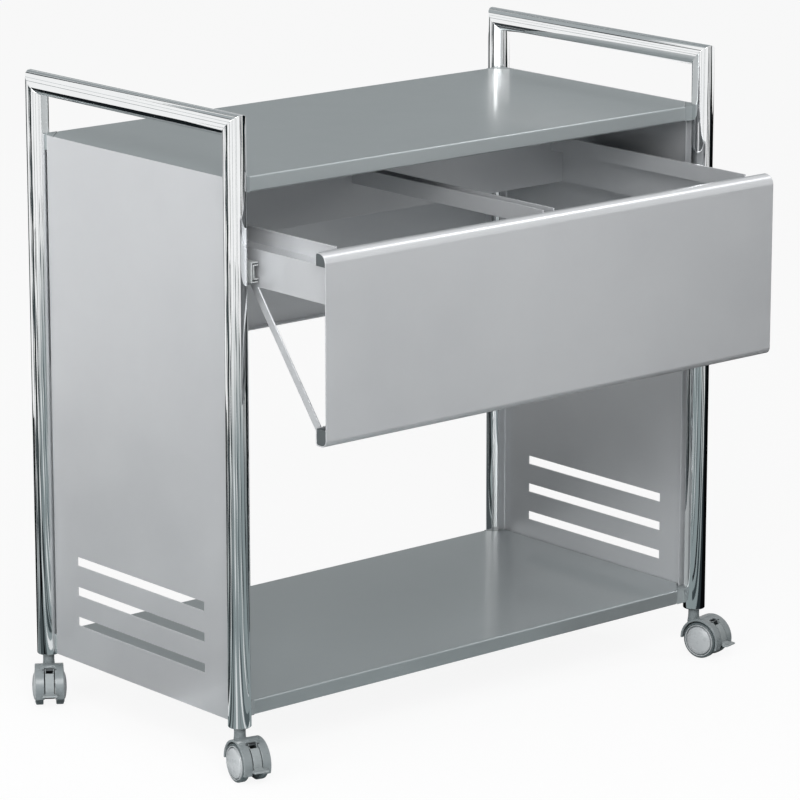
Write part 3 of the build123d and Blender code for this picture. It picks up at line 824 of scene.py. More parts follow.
def fastener_head(tree: Tree, source: bpy.types.Node) -> Socket:
    """Adds a chamfered head that stands on the Z axis, with a bore in it where the bore has a depth.

    Args:
        tree: the tree.
        source: its group input.

    Returns:
        The head's geometry.
    """
    size = source.outputs
    pairs = (("Head Height", "Chamfer"), ("Head Radius", "Chamfer"), ("Head Height", "Bore Depth"))
    straight, narrow, bottom = [
        add_node(tree, "ShaderNodeMath", {"operation": "SUBTRACT"}, {0: size[full], 1: size[off]}).outputs[0]
        for full, off in pairs
    ]
    deep = add_node(tree, "ShaderNodeMath", {"operation": "MULTIPLY"}, {0: size["Bore Depth"], 1: 2.0})
    barrel = block(tree, size["Sides"], (size["Head Radius"],) * 2, straight, 0.0)
    cap = block(tree, size["Sides"], (size["Head Radius"], narrow), size["Chamfer"], straight)
    bore = block(tree, size["Bore Sides"], (size["Bore Radius"],) * 2, deep.outputs[0], bottom)
    whole = add_node(tree, "GeometryNodeMeshBoolean", {"operation": "UNION", "solver": "EXACT"}, {1: barrel})
    tree.links.new(cap, whole.inputs[1])
    bored = add_node(
        tree, "GeometryNodeMeshBoolean", {"operation": "DIFFERENCE", "solver": "EXACT"},
        {0: whole.outputs[0], 1: bore},
    )
    has_bore = add_node(
        tree, "FunctionNodeCompare", {"data_type": "FLOAT", "operation": "GREATER_THAN"},
        {"A": size["Bore Depth"], "B": 0.0},
    )
    head = add_node(
        tree, "GeometryNodeSwitch", {"input_type": "GEOMETRY"},
        {"Switch": has_bore.outputs[0], "False": whole.outputs[0], "True": bored.outputs[0]},
    )
    return head.outputs[0]


def fastener_tree() -> Tree:
    """Builds a tree that sets a screw, nut, stud or rivet at each vertex of the base mesh.

    The vertex lies under the head. Its attribute "aim" points out of the head, and "shank" is the length
    of the shank.

    Returns:
        The tree.
    """
    tree = new_tree(
        "fastener",
        {
            "Sides": 24, "Head Radius": 0.0044, "Head Height": 0.003, "Chamfer": 0.0004,
            "Bore Sides": 6, "Bore Radius": 0.0023, "Bore Depth": 0.0016, "Shank Radius": 0.0025, "Seed": 3,
        },
    )
    source = add_node(tree, "NodeGroupInput")
    size = source.outputs
    head = fastener_head(tree, source)
    radius = size["Shank Radius"]
    shank = add_node(
        tree, "GeometryNodeMeshCone", {"fill_type": "NGON"},
        {"Vertices": 16, "Radius Top": radius, "Radius Bottom": radius, "Depth": 1.0},
    )
    aim, length = [
        add_node(tree, "GeometryNodeInputNamedAttribute", {"data_type": kind}, {"Name": name}).outputs[0]
        for kind, name in (("FLOAT_VECTOR", "aim"), ("FLOAT", "shank"))
    ]
    away = add_node(tree, "ShaderNodeVectorMath", {"operation": "SCALE"}, {0: aim, "Scale": -1.0}).outputs[0]
    aimed, back = [
        add_node(tree, "FunctionNodeAlignRotationToVector", {"axis": "Z"}, {"Vector": way}).outputs[0]
        for way in (aim, away)
    ]
    turn = add_node(
        tree, "FunctionNodeRandomValue", {"data_type": "FLOAT"},
        {2: 0.0, 3: 2 * math.pi, "Seed": size["Seed"]},
    )
    spin = add_node(
        tree, "FunctionNodeAxisAngleToRotation", None, {"Axis": (0, 0, 1), "Angle": turn.outputs[1]}
    )
    turned = add_node(
        tree, "FunctionNodeRotateRotation", {"rotation_space": "LOCAL"},
        {"Rotation": aimed, "Rotate By": spin.outputs[0]},
    )
    heads = add_node(
        tree, "GeometryNodeInstanceOnPoints", None,
        {"Points": source.outputs[0], "Instance": head, "Rotation": turned.outputs[0]},
    )
    stretch = add_node(tree, "ShaderNodeCombineXYZ", None, {"X": 1.0, "Y": 1.0, "Z": length})
    has_shank = add_node(
        tree, "FunctionNodeCompare", {"data_type": "FLOAT", "operation": "GREATER_THAN"},
        {"A": length, "B": 0.0},
    )
    shanks = add_node(
        tree, "GeometryNodeInstanceOnPoints", None,
        {
            "Points": source.outputs[0], "Selection": has_shank.outputs[0], "Instance": shank.outputs[0],
            "Rotation": back, "Scale": stretch.outputs[0],
        },
    )
    both = add_node(tree, "GeometryNodeJoinGeometry", None, {0: heads.outputs[0]})
    tree.links.new(shanks.outputs[0], both.inputs[0])
    close_tree(tree, source, both.outputs[0])
    return tree


@dataclass(frozen=True)
class Seat:
    """Where a fastener sits: the point under its head, the way its head faces, and its sizes."""

    place: Vector
    aim: Vector
    head_radius: float
    head_height: float
    shank: float


def seat_of(vertices: Sequence[bmesh.types.BMVert]) -> Seat:
    """Finds how one solid fastener sits.

    Args:
        vertices: all vertices of the solid.

    Returns:
        Its seat. A nut's seat faces into the cart.
    """
    head_share = 0.98  # of the largest radius: a vertex further out belongs to the head
    level = MM / 10  # a smaller step is none
    areas = {}
    for face in {face for vertex in vertices for face in vertex.link_faces}:
        way = tuple(round(value, 2) for value in face.normal)
        areas[way] = areas.get(way, 0.0) + face.calc_area()
    aim = Vector(max(areas, key=areas.get)).normalized()
    middle = sum((vertex.co for vertex in vertices), Vector()) / len(vertices)
    rows = []
    for vertex in vertices:
        along = (vertex.co - middle).dot(aim)
        rows.append((along, (vertex.co - middle - aim * along).length))
    radius = max(out for _, out in rows)
    head = [along for along, out in rows if out > radius * head_share]
    low, high = min(head), max(head)
    ahead, behind = max(rows)[0] - high, low - min(rows)[0]
    if ahead > behind + level or (abs(ahead - behind) < level and aim.x * middle.x > 0):
        aim, low, high, behind = -aim, -high, -low, ahead
    return Seat(middle + aim * low, aim, radius, high - low, behind if behind > level else 0.0)


def seats_in(node: str) -> list[Seat]:
    """The seats of all fasteners in a CAD node.

    Args:
        node: the node's name.

    Returns:
        One seat for each separate solid.
    """
    mesh = merged_copy(node)
    seen = set()
    seats = []
    for start in mesh.verts:
        if start in seen:
            continue
        seen.add(start)
        solid = [start]
        for vertex in solid:
            for other in [edge.other_vert(vertex) for edge in vertex.link_edges]:
                if other not in seen:
                    seen.add(other)
                    solid.append(other)
        seats.append(seat_of(solid))
    mesh.free()
    return seats


# Sub-assemblies


@dataclass
class TubeFrame:
    """The two chromed side frames, each of two posts and a hand rail, mitred together."""

    wall: float = 1.5 * MM
    seam_mm: float = 0.25
    foot_turn: float = 1.3 * MM
    turn_steps: int = 4
    segments: int = 64

    def ring(self, centre: Vector, radius: float, upright: bool, mitre: Mitre) -> list[Vector]:
        """The points round one end of a tube.

        Args:
            centre: a point on the tube's axis.
            radius: the ring's radius.
            upright: whether the tube runs along Z and not along Y.
            mitre: how the end is cut.

        Returns:
            The ring's points.
        """
        points = []
        for turn in turns(self.segments):
            across, over = radius * math.cos(turn), radius * math.sin(turn)
            along = mitre(over) if mitre else 0.0
            offset = (across, over, along) if upright else (across, along, over)
            points.append(centre + Vector(offset))
        return points

    def tube(
        self, name: str, ends: Sequence[tuple[Vector, Mitre]], radius: float, upright: bool
    ) -> bpy.types.Object:
        """A tube between two ends, with its wall.

        Args:
            name: the object's name.
            ends: for each end, a point on the axis and its mitre.
            radius: the tube's outer radius.
            upright: whether it runs along Z. Its foot is then turned in.

        Returns:
            The new object.
        """
        mesh = bmesh.new()
        inner = radius - self.wall
        (first, first_mitre), (last, last_mitre) = ends
        loops = [self.ring(first, inner, upright, first_mitre)]
        if upright:
            for step in range(self.turn_steps):
                turn = math.pi / 2 * step / self.turn_steps
                rise = Vector((0, 0, self.foot_turn * (1 - math.cos(turn))))
                inset = self.foot_turn * (1 - math.sin(turn))
                loops.append(self.ring(first + rise, radius - inset, True, None))
            first = first + Vector((0, 0, self.foot_turn))
        loops += [
            self.ring(first, radius, upright, first_mitre),
            self.ring(last, radius, upright, last_mitre),
            self.ring(last, inner, upright, last_mitre),
        ]
        rings = [[mesh.verts.new(point) for point in loop] for loop in loops]
        skin(mesh, rings + rings[:1])
        return soften(mesh_object(name, mesh), self.seam_mm)

    def build(self) -> None:
        """Makes and dresses all six tubes."""
        for side in Side:
            tops = {}
            for corner in [corner for corner in Corner if corner.side is side]:
                low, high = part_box(f"{corner.word}_post")
                axis, radius = corner.axis()
                foot, top = [axis + Vector((0, 0, z)) for z in (low.z, high.z - radius)]
                tops[corner.inward] = (top, self.slant(-corner.inward))
                ends = ((foot, None), tops[corner.inward])
                post = self.tube(f"{corner.word}_post_tube", ends, radius, True)
                dress(post, CHROME, "cart_frame", f"{corner.word}_post")
            rail = self.tube(f"{side.word}_hand_rail_tube", (tops[1], tops[-1]), radius, False)
            dress(rail, CHROME, "cart_frame", f"{side.word}_hand_rail")

    @staticmethod
    def slant(slope: float) -> Mitre:
        """A mitre's shift along the tube for each step across it."""
        return lambda across: slope * across


@dataclass
class SheetWork:
    """The folded shelves, side panels and back panel, with the saddles at the shelves' corners."""

    sheet: float = 1.5 * MM
    shelf_bend: float = 2.2 * MM
    shelf_lip: float = 10 * MM
    shelf_flat: float = 40 * MM
    saddle: float = 8 * MM
    stiffener_half: float = 30 * MM
    stiffener_depth: float = 13.2 * MM
    stiffener_setback: float = 30 * MM
    stiffener_bend: float = 2 * MM
    panel_bend: float = 4 * MM
    fold_share: float = 0.6
    slot_half: float = 135 * MM
    slot_height: float = 12 * MM
    slot_pitch: float = 41 * MM
    lowest_slot: float = 125 * MM
    slot_count: int = 3
    relief: float = 1 * MM
    fold_edge_mm: float = 0.3
    saddle_edge_mm: float = 0.6
    plug_edge_mm: float = 0.4

    def shelf_outline(self, node: str, inset: float) -> list[Point]:
        """A shelf's eight corners, drawn in by an inset.

        Args:
            node: the shelf's CAD node.
            inset: how far the outline is drawn in.

        Returns:
            The corners, in order.
        """
        low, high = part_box(node)
        axis, radius = Corner.RIGHT_BACK.axis()
        middle = (low.y + high.y) / 2
        reach = (radius + self.saddle + inset) * math.sqrt(2)
        half_x, half_y = high.x - inset, (high.y - low.y) / 2 - inset
        post_y = axis.y - middle
        cut_x = axis.x - reach + (post_y - half_y)
        cut_y = post_y - reach + (axis.x - half_x)
        quarter = [(cut_x, -half_y), (half_x, -cut_y), (half_x, cut_y), (cut_x, half_y)]
        points = quarter + [(-x, y) for x, y in reversed(quarter)]
        return [(x, y + middle) for x, y in points]

    def shelf(self, node: str) -> None:
        """Makes one shelf: face, rolled edge, skirt and lip.

        Args:
            node: the shelf's CAD node.
        """
        low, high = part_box(node)
        half = self.sheet / 2
        bend = self.shelf_bend - half
        top, bottom = high.z - half, low.z + half
        corners = [(self.shelf_flat, top), (half, top), (half, bottom), (self.shelf_lip, bottom)]
        mesh = bmesh.new()
        rings = []
        for inset, z in bent(corners, [bend, bend], steps=6):
            rings.append([mesh.verts.new((x, y, z)) for x, y in self.shelf_outline(node, inset)])
        mesh.faces.new(rings[0])
        skin(mesh, rings)
        tray = walled(mesh_object(f"{node}_tray", mesh, closed=False), self.sheet)
        dress(tray, SHADED_SHELF_SILVER, "cart_frame", node)
        self.stiffener(node)

    def stiffener(self, node: str) -> None:
        """The channel welded along the middle of a shelf's underside.

        Args:
            node: the shelf's CAD node.
        """
        low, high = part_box(node)
        middle = (low.y + high.y) / 2
        half, top = self.stiffener_half, high.z - self.sheet
        web = top - self.stiffener_depth
        corners = [(-half, top), (-half, web), (half, web), (half, top)]
        path = bent(corners, [self.stiffener_bend] * 2, steps=4)
        channel = swept_sheet(
            f"{node}_stiffener", path, [low.x + self.stiffener_setback, high.x - self.stiffener_setback],
            lambda p, x: Vector((x, middle + p.x, p.y)), self.sheet,
        )
        dress(channel, SHADED_SHELF_SILVER, "cart_frame")

    def side_panel(self, side: Side) -> None:
        """Makes one side panel, with its slots and the reliefs that clear the shelves.

        Args:
            side: which side of the cart.
        """
        node = f"{side.word}_side_panel"
        low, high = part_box(node)
        half = self.sheet / 2
        middle = (low.y + high.y) / 2
        width = (high.y - low.y) / 2 - half
        fold, outside = (low.x, high.x) if side is Side.RIGHT else (-high.x, -low.x)
        face = outside - half
        bend = self.panel_bend - half
        corners = [
            (fold, -width), (face, -width), (face, -self.slot_half),
            (face, self.slot_half), (face, width), (fold, width),
        ]
        levels = [self.lowest_slot + row * self.slot_pitch for row in range(self.slot_count)]
        slots = [(z - self.slot_height / 2, z + self.slot_height / 2) for z in levels]
        (_, lower_top), (upper_low, _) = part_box("lower_shelf"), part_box("top_shelf")
        clear = [(low.z, lower_top.z + self.relief), (upper_low.z - self.relief, high.z)]
        stations = sorted({low.z, high.z, *[z for pair in slots + clear for z in pair]})
        fold_end = face - self.panel_bend * self.fold_share

        def gone(point: Vector, z: float) -> bool:
            """Says whether a cell lies in a slot, or in a fold beside a shelf."""
            in_slot = abs(point.y) < self.slot_half and any(a < z < b for a, b in slots)
            return in_slot or (point.x < fold_end and any(a < z < b for a, b in clear))

        panel = swept_sheet(
            f"{node}_sheet", bent(corners, [bend, 0, 0, bend], steps=7), stations,
            lambda p, z: Vector((side.value * p.x, middle + p.y, z)), self.sheet, gone,
        )
        dress(panel, SILVER, "cart_frame", node)

    def build(self) -> None:
        """Makes and dresses all sheet pieces of the standing frame, and what is moulded to fit them."""
        for side in Side:
            self.side_panel(side)
        for node in ("top_shelf", "lower_shelf"):
            self.shelf(node)
        for node, name, width, finish in (
            ("back_panel", "back_panel_sheet", self.fold_edge_mm, SILVER),
            ("shelf_corner_saddles", "shelf_saddles_moulded", self.saddle_edge_mm, SADDLE_NYLON),
            ("back_panel_spacers", "back_panel_spacers_moulded", self.plug_edge_mm, DARK_NYLON),
            ("caster_sockets", "caster_sockets_moulded", self.plug_edge_mm, DARK_NYLON),
        ):
            dress(refined(node, name, width), finish, "cart_frame", node)


@dataclass
class Fasteners:
    """Screws, nuts, weld studs and rivets, set by one node tree where the CAD has them."""

    screw_chamfer: float = 0.5 * MM
    socket_share: float = 0.55
    socket_depth: float = 1.7 * MM
    shank_radius: float = 2.5 * MM
    nut_sides: int = 6
    nut_chamfer: float = 0.45 * MM
    nut_bore: float = 2.6 * MM
    bore_sides: int = 20
    stud_length: float = 9.0 * MM
    stud_tip: float = 0.8 * MM
    panel_sheet: float = 1.5 * MM
    rivet_chamfer: float = 0.55 * MM
    rivet_head: float = 1.0 * MM
    rivet_shank: float = 2.0 * MM
    height_digits: int = 5

    def grow_rows(self, tree: Tree, name: str, seats: Sequence[Seat], sizes: dict) -> bpy.types.Object:
        """Sets one kind of fastener, each head as high as its seat says.

        Args:
            tree: the tree that sets fasteners.
            name: the new object's name.
            seats: where the fasteners sit.
            sizes: the tree's inputs that don't come from the seats.

        Returns:
            The new object.
        """
        rows = []
        for height in sorted({round(seat.head_height, self.height_digits) for seat in seats}):
            row = [seat for seat in seats if round(seat.head_height, self.height_digits) == height]
            base = points_mesh(f"{name}_seats", [seat.place for seat in row])
            aim = base.attributes.new("aim", "FLOAT_VECTOR", "POINT")
            aim.data.foreach_set("vector", [value for seat in row for value in seat.aim])
            shank = base.attributes.new("shank", "FLOAT", "POINT")
            shank.data.foreach_set("value", [seat.shank for seat in row])
            values = {"Head Radius": row[0].head_radius, "Head Height": height, "Finish": ZINC.material()}
            rows.append(grown("row", tree, base, values | sizes))
        return fused(name, rows)

    def build(self) -> None:
        """Makes and dresses every fastener."""
        tree = fastener_tree()
        screws, nuts, rivets = map(seats_in, ("frame_screws", "side_panel_nuts", "drawer_rivets"))
        studs = [self.stud(nut) for nut in nuts]
        heads = [head for rivet in rivets for head in self.rivet_heads(rivet)]
        screw_sizes = {
            "Chamfer": self.screw_chamfer, "Shank Radius": self.shank_radius,
            "Bore Radius": screws[0].head_radius * self.socket_share, "Bore Depth": self.socket_depth,
        }
        nut_sizes = {
            "Sides": self.nut_sides, "Chamfer": self.nut_chamfer, "Bore Sides": self.bore_sides,
            "Bore Radius": self.nut_bore, "Bore Depth": 2 * nuts[0].head_height,
        }
        stud_sizes = {"Chamfer": self.stud_tip, "Bore Depth": 0.0, "Shank Radius": self.shank_radius}
        rivet_sizes = {"Chamfer": self.rivet_chamfer, "Bore Depth": 0.0, "Shank Radius": self.rivet_shank}
        for name, seats, sizes, body, *nodes in (
            ("frame_screws_plated", screws, screw_sizes, "cart_frame", "frame_screws"),
            ("side_panel_nuts_plated", nuts, nut_sizes, "cart_frame", "side_panel_nuts"),
            ("panel_studs_welded", studs, stud_sizes, "cart_frame"),
            ("brace_rivets_set", heads, rivet_sizes, "drawer", "drawer_rivets"),
        ):
            dress(self.grow_rows(tree, name, seats, sizes), ZINC, body, *nodes)

    def rivet_heads(self, rivet: Seat) -> list[Seat]:
        """The two heads of a rivet, the first with the shank.

        Args:
            rivet: the rivet, as one block from its first head to its second.

        Returns:
            A seat for each head.
        """
        near, far = self.rivet_head, rivet.head_height - self.rivet_head
        radius, aim = rivet.head_radius, rivet.aim
        return [
            Seat(rivet.place + aim * far, aim, radius, near, far - near),
            Seat(rivet.place + aim * near, -aim, radius, near, 0.0),
        ]

    def stud(self, nut: Seat) -> Seat:
        """The stud that a nut sits on. Its tip is drawn as the head.

        Args:
            nut: the nut's seat.

        Returns:
            The stud's seat.
        """
        side = Side.RIGHT if nut.place.x > 0 else Side.LEFT
        low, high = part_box(f"{side.word}_side_panel")
        face = high.x if side is Side.RIGHT else low.x
        root = face + nut.aim.x * self.panel_sheet
        shank = self.stud_length - self.stud_tip * 2
        place = Vector((root + nut.aim.x * shank, nut.place.y, nut.place.z))
        return Seat(place, nut.aim, self.shank_radius, self.stud_tip * 2, shank)


@dataclass
class FileDrawer:
    """The drawer: rolled front, stepped sides with their file rails, centre rail, back and braces."""

    sheet: float = 1.5 * MM
    top_roll: float = 17 * MM
    low_roll: float = 22 * MM
    top_radius: float = 13 * MM
    low_radius: float = 9 * MM
    back_radius: float = 4 * MM
    cap_edge_mm: float = 0.5

    def front(self) -> None:
        """Makes the front from one sheet, rolled back along its upper and lower edges."""
        low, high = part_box("drawer_front")
        half = self.sheet / 2
        front_y, back_y = low.y + half, high.y - half
        bottom, top = low.z + half, high.z - half
        corners = [
            (back_y, high.z - self.top_roll), (back_y, top), (front_y, top),
            (front_y, bottom), (back_y, bottom), (back_y, low.z + self.low_roll),
        ]
        radii = [r - half for r in (self.back_radius, self.top_radius, self.low_radius, self.back_radius)]
        panel = swept_sheet(
            "drawer_front_rolled", bent(corners, radii, steps=12), [low.x, high.x],
            lambda p, x: Vector((x, p.x, p.y)), self.sheet,
        )
        dress(panel, SILVER, "drawer", "drawer_front")

    def build(self) -> None:
        """Makes and dresses every piece of the drawer."""
        self.front()
        caps = refined("drawer_front_end_caps", "roll_end_caps_moulded", self.cap_edge_mm)
        dress(caps, DARK_NYLON, "drawer", "drawer_front_end_caps")
        names = [f"{side.word}_{part}" for side in Side for part in ("drawer_side", "drawer_brace")]
        for node in names + ["drawer_back", "centre_file_rail"]:
            dress(refined(node, f"{node}_folded", SHEET_EDGE_MM), SILVER, "drawer", node)


@dataclass
class BallSlides:
    """The two ball slides, with their cages and balls."""

    balls: int = 6
    ball_radius: float = 1.15 * MM
    strip: float = 0.8 * MM
    rail_edge_mm: float = 0.25

    def cages(self, node: str, tree: Tree) -> None:
        """Makes the cage strips of one stage and sets the balls in them.

        Args:
            node: the CAD node of the cages.
            tree: the tree that lays a row of balls.
        """
        low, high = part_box(node)
        pitch = (high.y - low.y) / self.balls
        middle_z = (low.z + high.z) / 2
        rise = (high.z - low.z) / 2 - self.ball_radius
        width = self.strip_width(node)
        to_place = Matrix.Translation((0, (low.y + high.y) / 2, 0))
        starts, strips = [], []
        for side in Side:
            x = side.value * (high.x - width / 2)
            for z in (middle_z - rise, middle_z + rise):
                starts.append(Vector((x, low.y + pitch / 2, z)))
                outline = [
                    Vector((x + a * width / 2, z + b * self.strip / 2))
                    for a, b in ((-1, -1), (1, -1), (1, 1), (-1, 1))
                ]
                strips.append(prism("strip", outline, (high.y - low.y) / 2, to_place))
        balls = grown(
            "balls", tree, points_mesh(f"{node}_starts", starts),
            {"Balls": self.balls, "Pitch": pitch, "Ball Radius": self.ball_radius, "Finish": ZINC.material()},
        )
        dress(fused(f"{node}_set", strips + [balls]), ZINC, node, node)

    @staticmethod
    def strip_width(node: str) -> float:
        """Width of one cage strip, read from the node's vertices on the right side."""
        edges = [vertex.co.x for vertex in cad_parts[node].data.vertices if vertex.co.x > 0]
        return max(edges) - min(edges)

    def build(self) -> None:
        """Makes and dresses the rails and cages."""
        bodies = {"outer": "cart_frame", "middle": "middle_rails", "inner": "drawer"}
        for side in Side:
            for stage, body in bodies.items():
                node = f"{side.word}_{stage}_slide_rail"
                dress(refined(node, f"{node}_rolled", self.rail_edge_mm), RAIL_ZINC, body, node)
        tree = ball_row_tree()
        for node in ("outer_ball_cages", "inner_ball_cages"):
            self.cages(node, tree)


@dataclass
class Caster:
    """One twin-wheel caster, drawn about its stem with the wheels trailing to +X.

    Lengths are in millimetres, and angles about the axle are in degrees from +X.
    """

    corner: Corner
    trail: float = 21.0
    axle_z: float = 25.0
    hood_radius: float = 30.0
    hood_wall: float = 3.0
    hood_half: float = 19.0
    hood_low: float = -22.0
    hood_high: float = 181.0
    hood_edge: float = 0.8
    hood_edge_faces: int = 3
    half_steps: int = 24
    web_half: float = 7.0
    web_radius: float = 27.2
    web_low_radius: float = 17.8
    web_low: float = -70.0
    web_high: float = 200.0
    web_edge: float = 0.6
    slot_half: float = 7.1
    slot_top: float = 72.0
    neck_segments: int = 40
    lever_half: float = 5.9
    lever_wall: float = 2.6
    lever_low: float = -8.0
    lever_top: float = 50.0
    lever_edge: float = 0.5
    cheek_half: float = 0.5
    cheek_start: float = 47.0
    cheek_rim: float = 28.7
    cheek_edge: float = 0.3
    pivot_angle: float = 62.0
    pivot_radius: float = 29.0
    eye_radius: float = 1.7
    eye_segments: int = 28
    pad_half: float = 10.0
    pad_angle: float = -2.0
    pad_edge: float = 0.8
    pad_edge_faces: int = 3
    wheel_inner: float = 8.5
    wheel_segments: int = 72
    dome_radius: float = 19.5
    dome_foot: float = 9.8
    dome_rise: float = 4.6
    dome_steps: int = 12
    # Radius and height: a collar low down, and a socket at the top that takes the stem.
    neck_profile: tuple[Point, ...] = (
        (0.0, 26.0), (7.5, 26.0), (8.5, 46.0), (8.1, 49.0), (7.7, 52.0), (7.5, 55.0),
        (7.5, 63.0), (6.5, 64.0), (4.2, 64.0), (4.2, 61.0), (0.0, 61.0),
    )
    # Radius and distance from the wheel's inner side: bore, groove in that side, running face, outer side.
    tread_profile: tuple[Point, ...] = (
        (3.05, 0.0), (19.0, 0.0), (20.0, 1.6), (22.6, 1.6), (23.6, 0.0), (24.4, 0.15), (24.9, 0.7),
        (25.0, 1.4), (25.0, 8.4), (24.7, 9.3), (24.0, 9.9), (23.3, 10.0), (22.9, 9.6), (22.8, 8.6),
        (3.05, 8.6), (3.05, 0.0),
    )
    # The same for the disc: a raised rim and a groove, from which the dome rises.
    disc_profile: tuple[Point, ...] = (
        (0.0, 8.0), (22.2, 8.0), (22.2, 10.4), (22.0, 10.8), (21.7, 11.0), (21.3, 10.9),
        (21.0, 10.4), (20.9, 8.2), (19.6, 8.2),
    )
    # The arm and the pad, along X and Z from where the pad leaves the hood.
    arm_corners: tuple[Point, ...] = ((-2.6, -4.0), (5.0, -4.0), (5.0, 0.0), (-2.6, 2.0))
    pad_corners: tuple[Point, ...] = ((3.5, -4.0), (11.0, -3.2), (12.0, -1.8), (10.8, -0.4), (3.5, 0.0))

    def placed(self) -> Matrix:
        """Carries the caster from its own axes, in millimetres, to its place under the post."""
        turn = Matrix.Rotation(math.radians(self.corner.caster_deg), 4, "Z")
        return Matrix.Translation(self.corner.axis()[0]) @ turn @ Matrix.Scale(MM, 4)

    def about_axle(self, radius: float, degrees: float) -> Vector:
        """A point about the axle, in the caster's middle plane."""
        angle = math.radians(degrees)
        return Vector((self.trail + radius * math.cos(angle), self.axle_z + radius * math.sin(angle)))

    def arc(self, radius: float, start: float, end: float, steps: int) -> list[Vector]:
        """Points along an arc about the axle."""
        return [self.about_axle(radius, start + (end - start) * i / steps) for i in range(steps + 1)]

    def hood(self) -> bpy.types.Object:
        """The curved hood over both wheels, with the slot for the brake lever.

        Returns:
            The hood.
        """
        place = self.placed()
        middle = self.hood_radius - self.hood_wall / 2
        path = self.arc(middle, self.hood_low, self.slot_top, self.half_steps)
        path += self.arc(middle, self.slot_top, self.hood_high, self.half_steps)[1:]
        stations = [-self.hood_half, -self.slot_half, self.slot_half, self.hood_half]
        slot_end = self.about_axle(middle, self.slot_top)

        def gone(point: Vector, y: float) -> bool:
            """Says whether a cell lies in the brake lever's slot."""
            angle = math.degrees(math.atan2(point.y - self.axle_z, point.x - self.trail))
            return abs(y) < self.slot_half and angle < self.slot_top and point.x > slot_end.x

        hood = swept_sheet(
            "hood", path, stations, lambda p, y: place @ Vector((p.x, y, p.y)), self.hood_wall * MM, gone
        )
        hood.modifiers["broken_edges"].width = self.hood_edge * MM
        hood.modifiers["broken_edges"].segments = self.hood_edge_faces
        return hood

    def housing(self) -> None:
        """The hood with the neck, moulded in one, and the core between the wheels, dressed nearly black as
        painted shade for the deep hole between them.
        """
        place = self.placed()
        web = self.arc(self.web_low_radius, self.web_low, self.slot_top, steps=20)
        web += self.arc(self.web_radius, self.slot_top, self.web_high, steps=24)
        name = self.corner.word
        # Painted shade: the core is nearly black to stand for the deep shade between the wheels.
        core = soften(prism(f"{name}_caster_core_moulded", web, self.web_half, place), self.web_edge)
        dress(core, SHADE_CORE_NYLON, f"{name}_caster")
        neck = lathe("neck", self.neck_profile, self.neck_segments, place)
        body = fused(f"{name}_caster_hood_moulded", [self.hood(), neck])
        dress(body, GREY_NYLON, f"{name}_caster", f"{name}_caster_housing")

    def wheel(self, sign: int) -> None:
        """A wheel: a dark tread, and a pale disc in it with a rim, a groove and a domed face.

        Args:
            sign: -1 for wheel a, 1 for wheel b.
        """
        rises = [math.pi / 2 * step / self.dome_steps for step in range(self.dome_steps + 1)]
        dome = [
            (self.dome_radius * math.cos(t), self.dome_foot + self.dome_rise * math.sin(t)) for t in rises
        ]
        turn = Matrix.Rotation(-sign * math.pi / 2, 4, "X")
        place = self.placed() @ Matrix.Translation((self.trail, sign * self.wheel_inner, self.axle_z)) @ turn
        letter = "a" if sign < 0 else "b"
        name = f"{self.corner.word}_wheel_{letter}"
        tread = lathe(f"{name}_tread", self.tread_profile, self.wheel_segments, place)
        dress(tread, TREAD_NYLON, name, f"{self.corner.word}_caster_wheel_{letter}")
        disc = lathe(f"{name}_disc", self.disc_profile + tuple(dome), self.wheel_segments, place)
        dress(disc, WHEEL_NYLON, name)

    def brake(self) -> None:
        """The brake lever: a curved band in the hood's slot, two cheeks up to its pin, an arm and a pad."""
        place = self.placed()
        inner_radius = self.hood_radius - self.lever_wall
        outline = self.arc(self.hood_radius, self.lever_low, self.lever_top, steps=16)
        outline += self.arc(inner_radius, self.lever_top, self.lever_low, steps=16)
        band = soften(prism("band", outline, self.lever_half, place), self.lever_edge)
        pivot = self.about_axle(self.pivot_radius, self.pivot_angle)
        eye = [pivot + Vector((math.cos(t), math.sin(t))) * self.eye_radius for t in turns(self.eye_segments)]
        cheek = self.arc(self.cheek_rim, self.cheek_start, self.pivot_angle, steps=6)
        cheek += self.arc(inner_radius, self.pivot_angle, self.cheek_start, steps=6)
        cheeks = []
        for sign in (-1, 1):
            beside = place @ Matrix.Translation((0, sign * (self.lever_half - self.cheek_half), 0))
            for shape in (eye, cheek):
                cheeks.append(soften(prism("cheek", shape, self.cheek_half, beside), self.cheek_edge))
        root = Vector((self.trail + self.hood_radius, self.about_axle(self.hood_radius, self.pad_angle).y))
        arm_outline, pad_outline = [
            [root + Vector(corner) for corner in corners] for corners in (self.arm_corners, self.pad_corners)
        ]
        arm = soften(prism("arm", arm_outline, self.lever_half, place), self.lever_edge)
        pad = soften(prism("pad", pad_outline, self.pad_half, place), self.pad_edge, self.pad_edge_faces)
        name = self.corner.word
        lever = fused(f"{name}_brake_lever_moulded", [band, arm, pad] + cheeks)
        dress(lever, BRAKE_NYLON, f"{name}_brake", f"{name}_caster_brake")

    def build(self) -> None:
        """Makes and dresses every piece of the caster."""
        self.housing()
        for sign in (-1, 1):
            self.wheel(sign)
        self.brake()
        for part, finish in (("stem", ZINC), ("pins", PIN_STEEL)):
            node = f"{self.corner.word}_caster_{part}"
            coat(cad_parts[node].data, finish)
            LOG.info("%s in %s", node, finish.name)


@dataclass(frozen=True)
class Lamp:
    """A soft square lamp: where it hangs, what it points at, its side in metres and its power in watts."""

    name: str
    place: Place
    aim: Place
    size: float
    watts: float

    def build(self) -> None:
        """Hangs the lamp."""
        data = bpy.data.lights.new(self.name, "AREA")
        data.size = self.size
        data.energy = self.watts
        obj = linked(self.name, data)
        obj.location = self.place
        obj.rotation_euler = (Vector(self.aim) - Vector(self.place)).to_track_quat("-Z", "Y").to_euler()


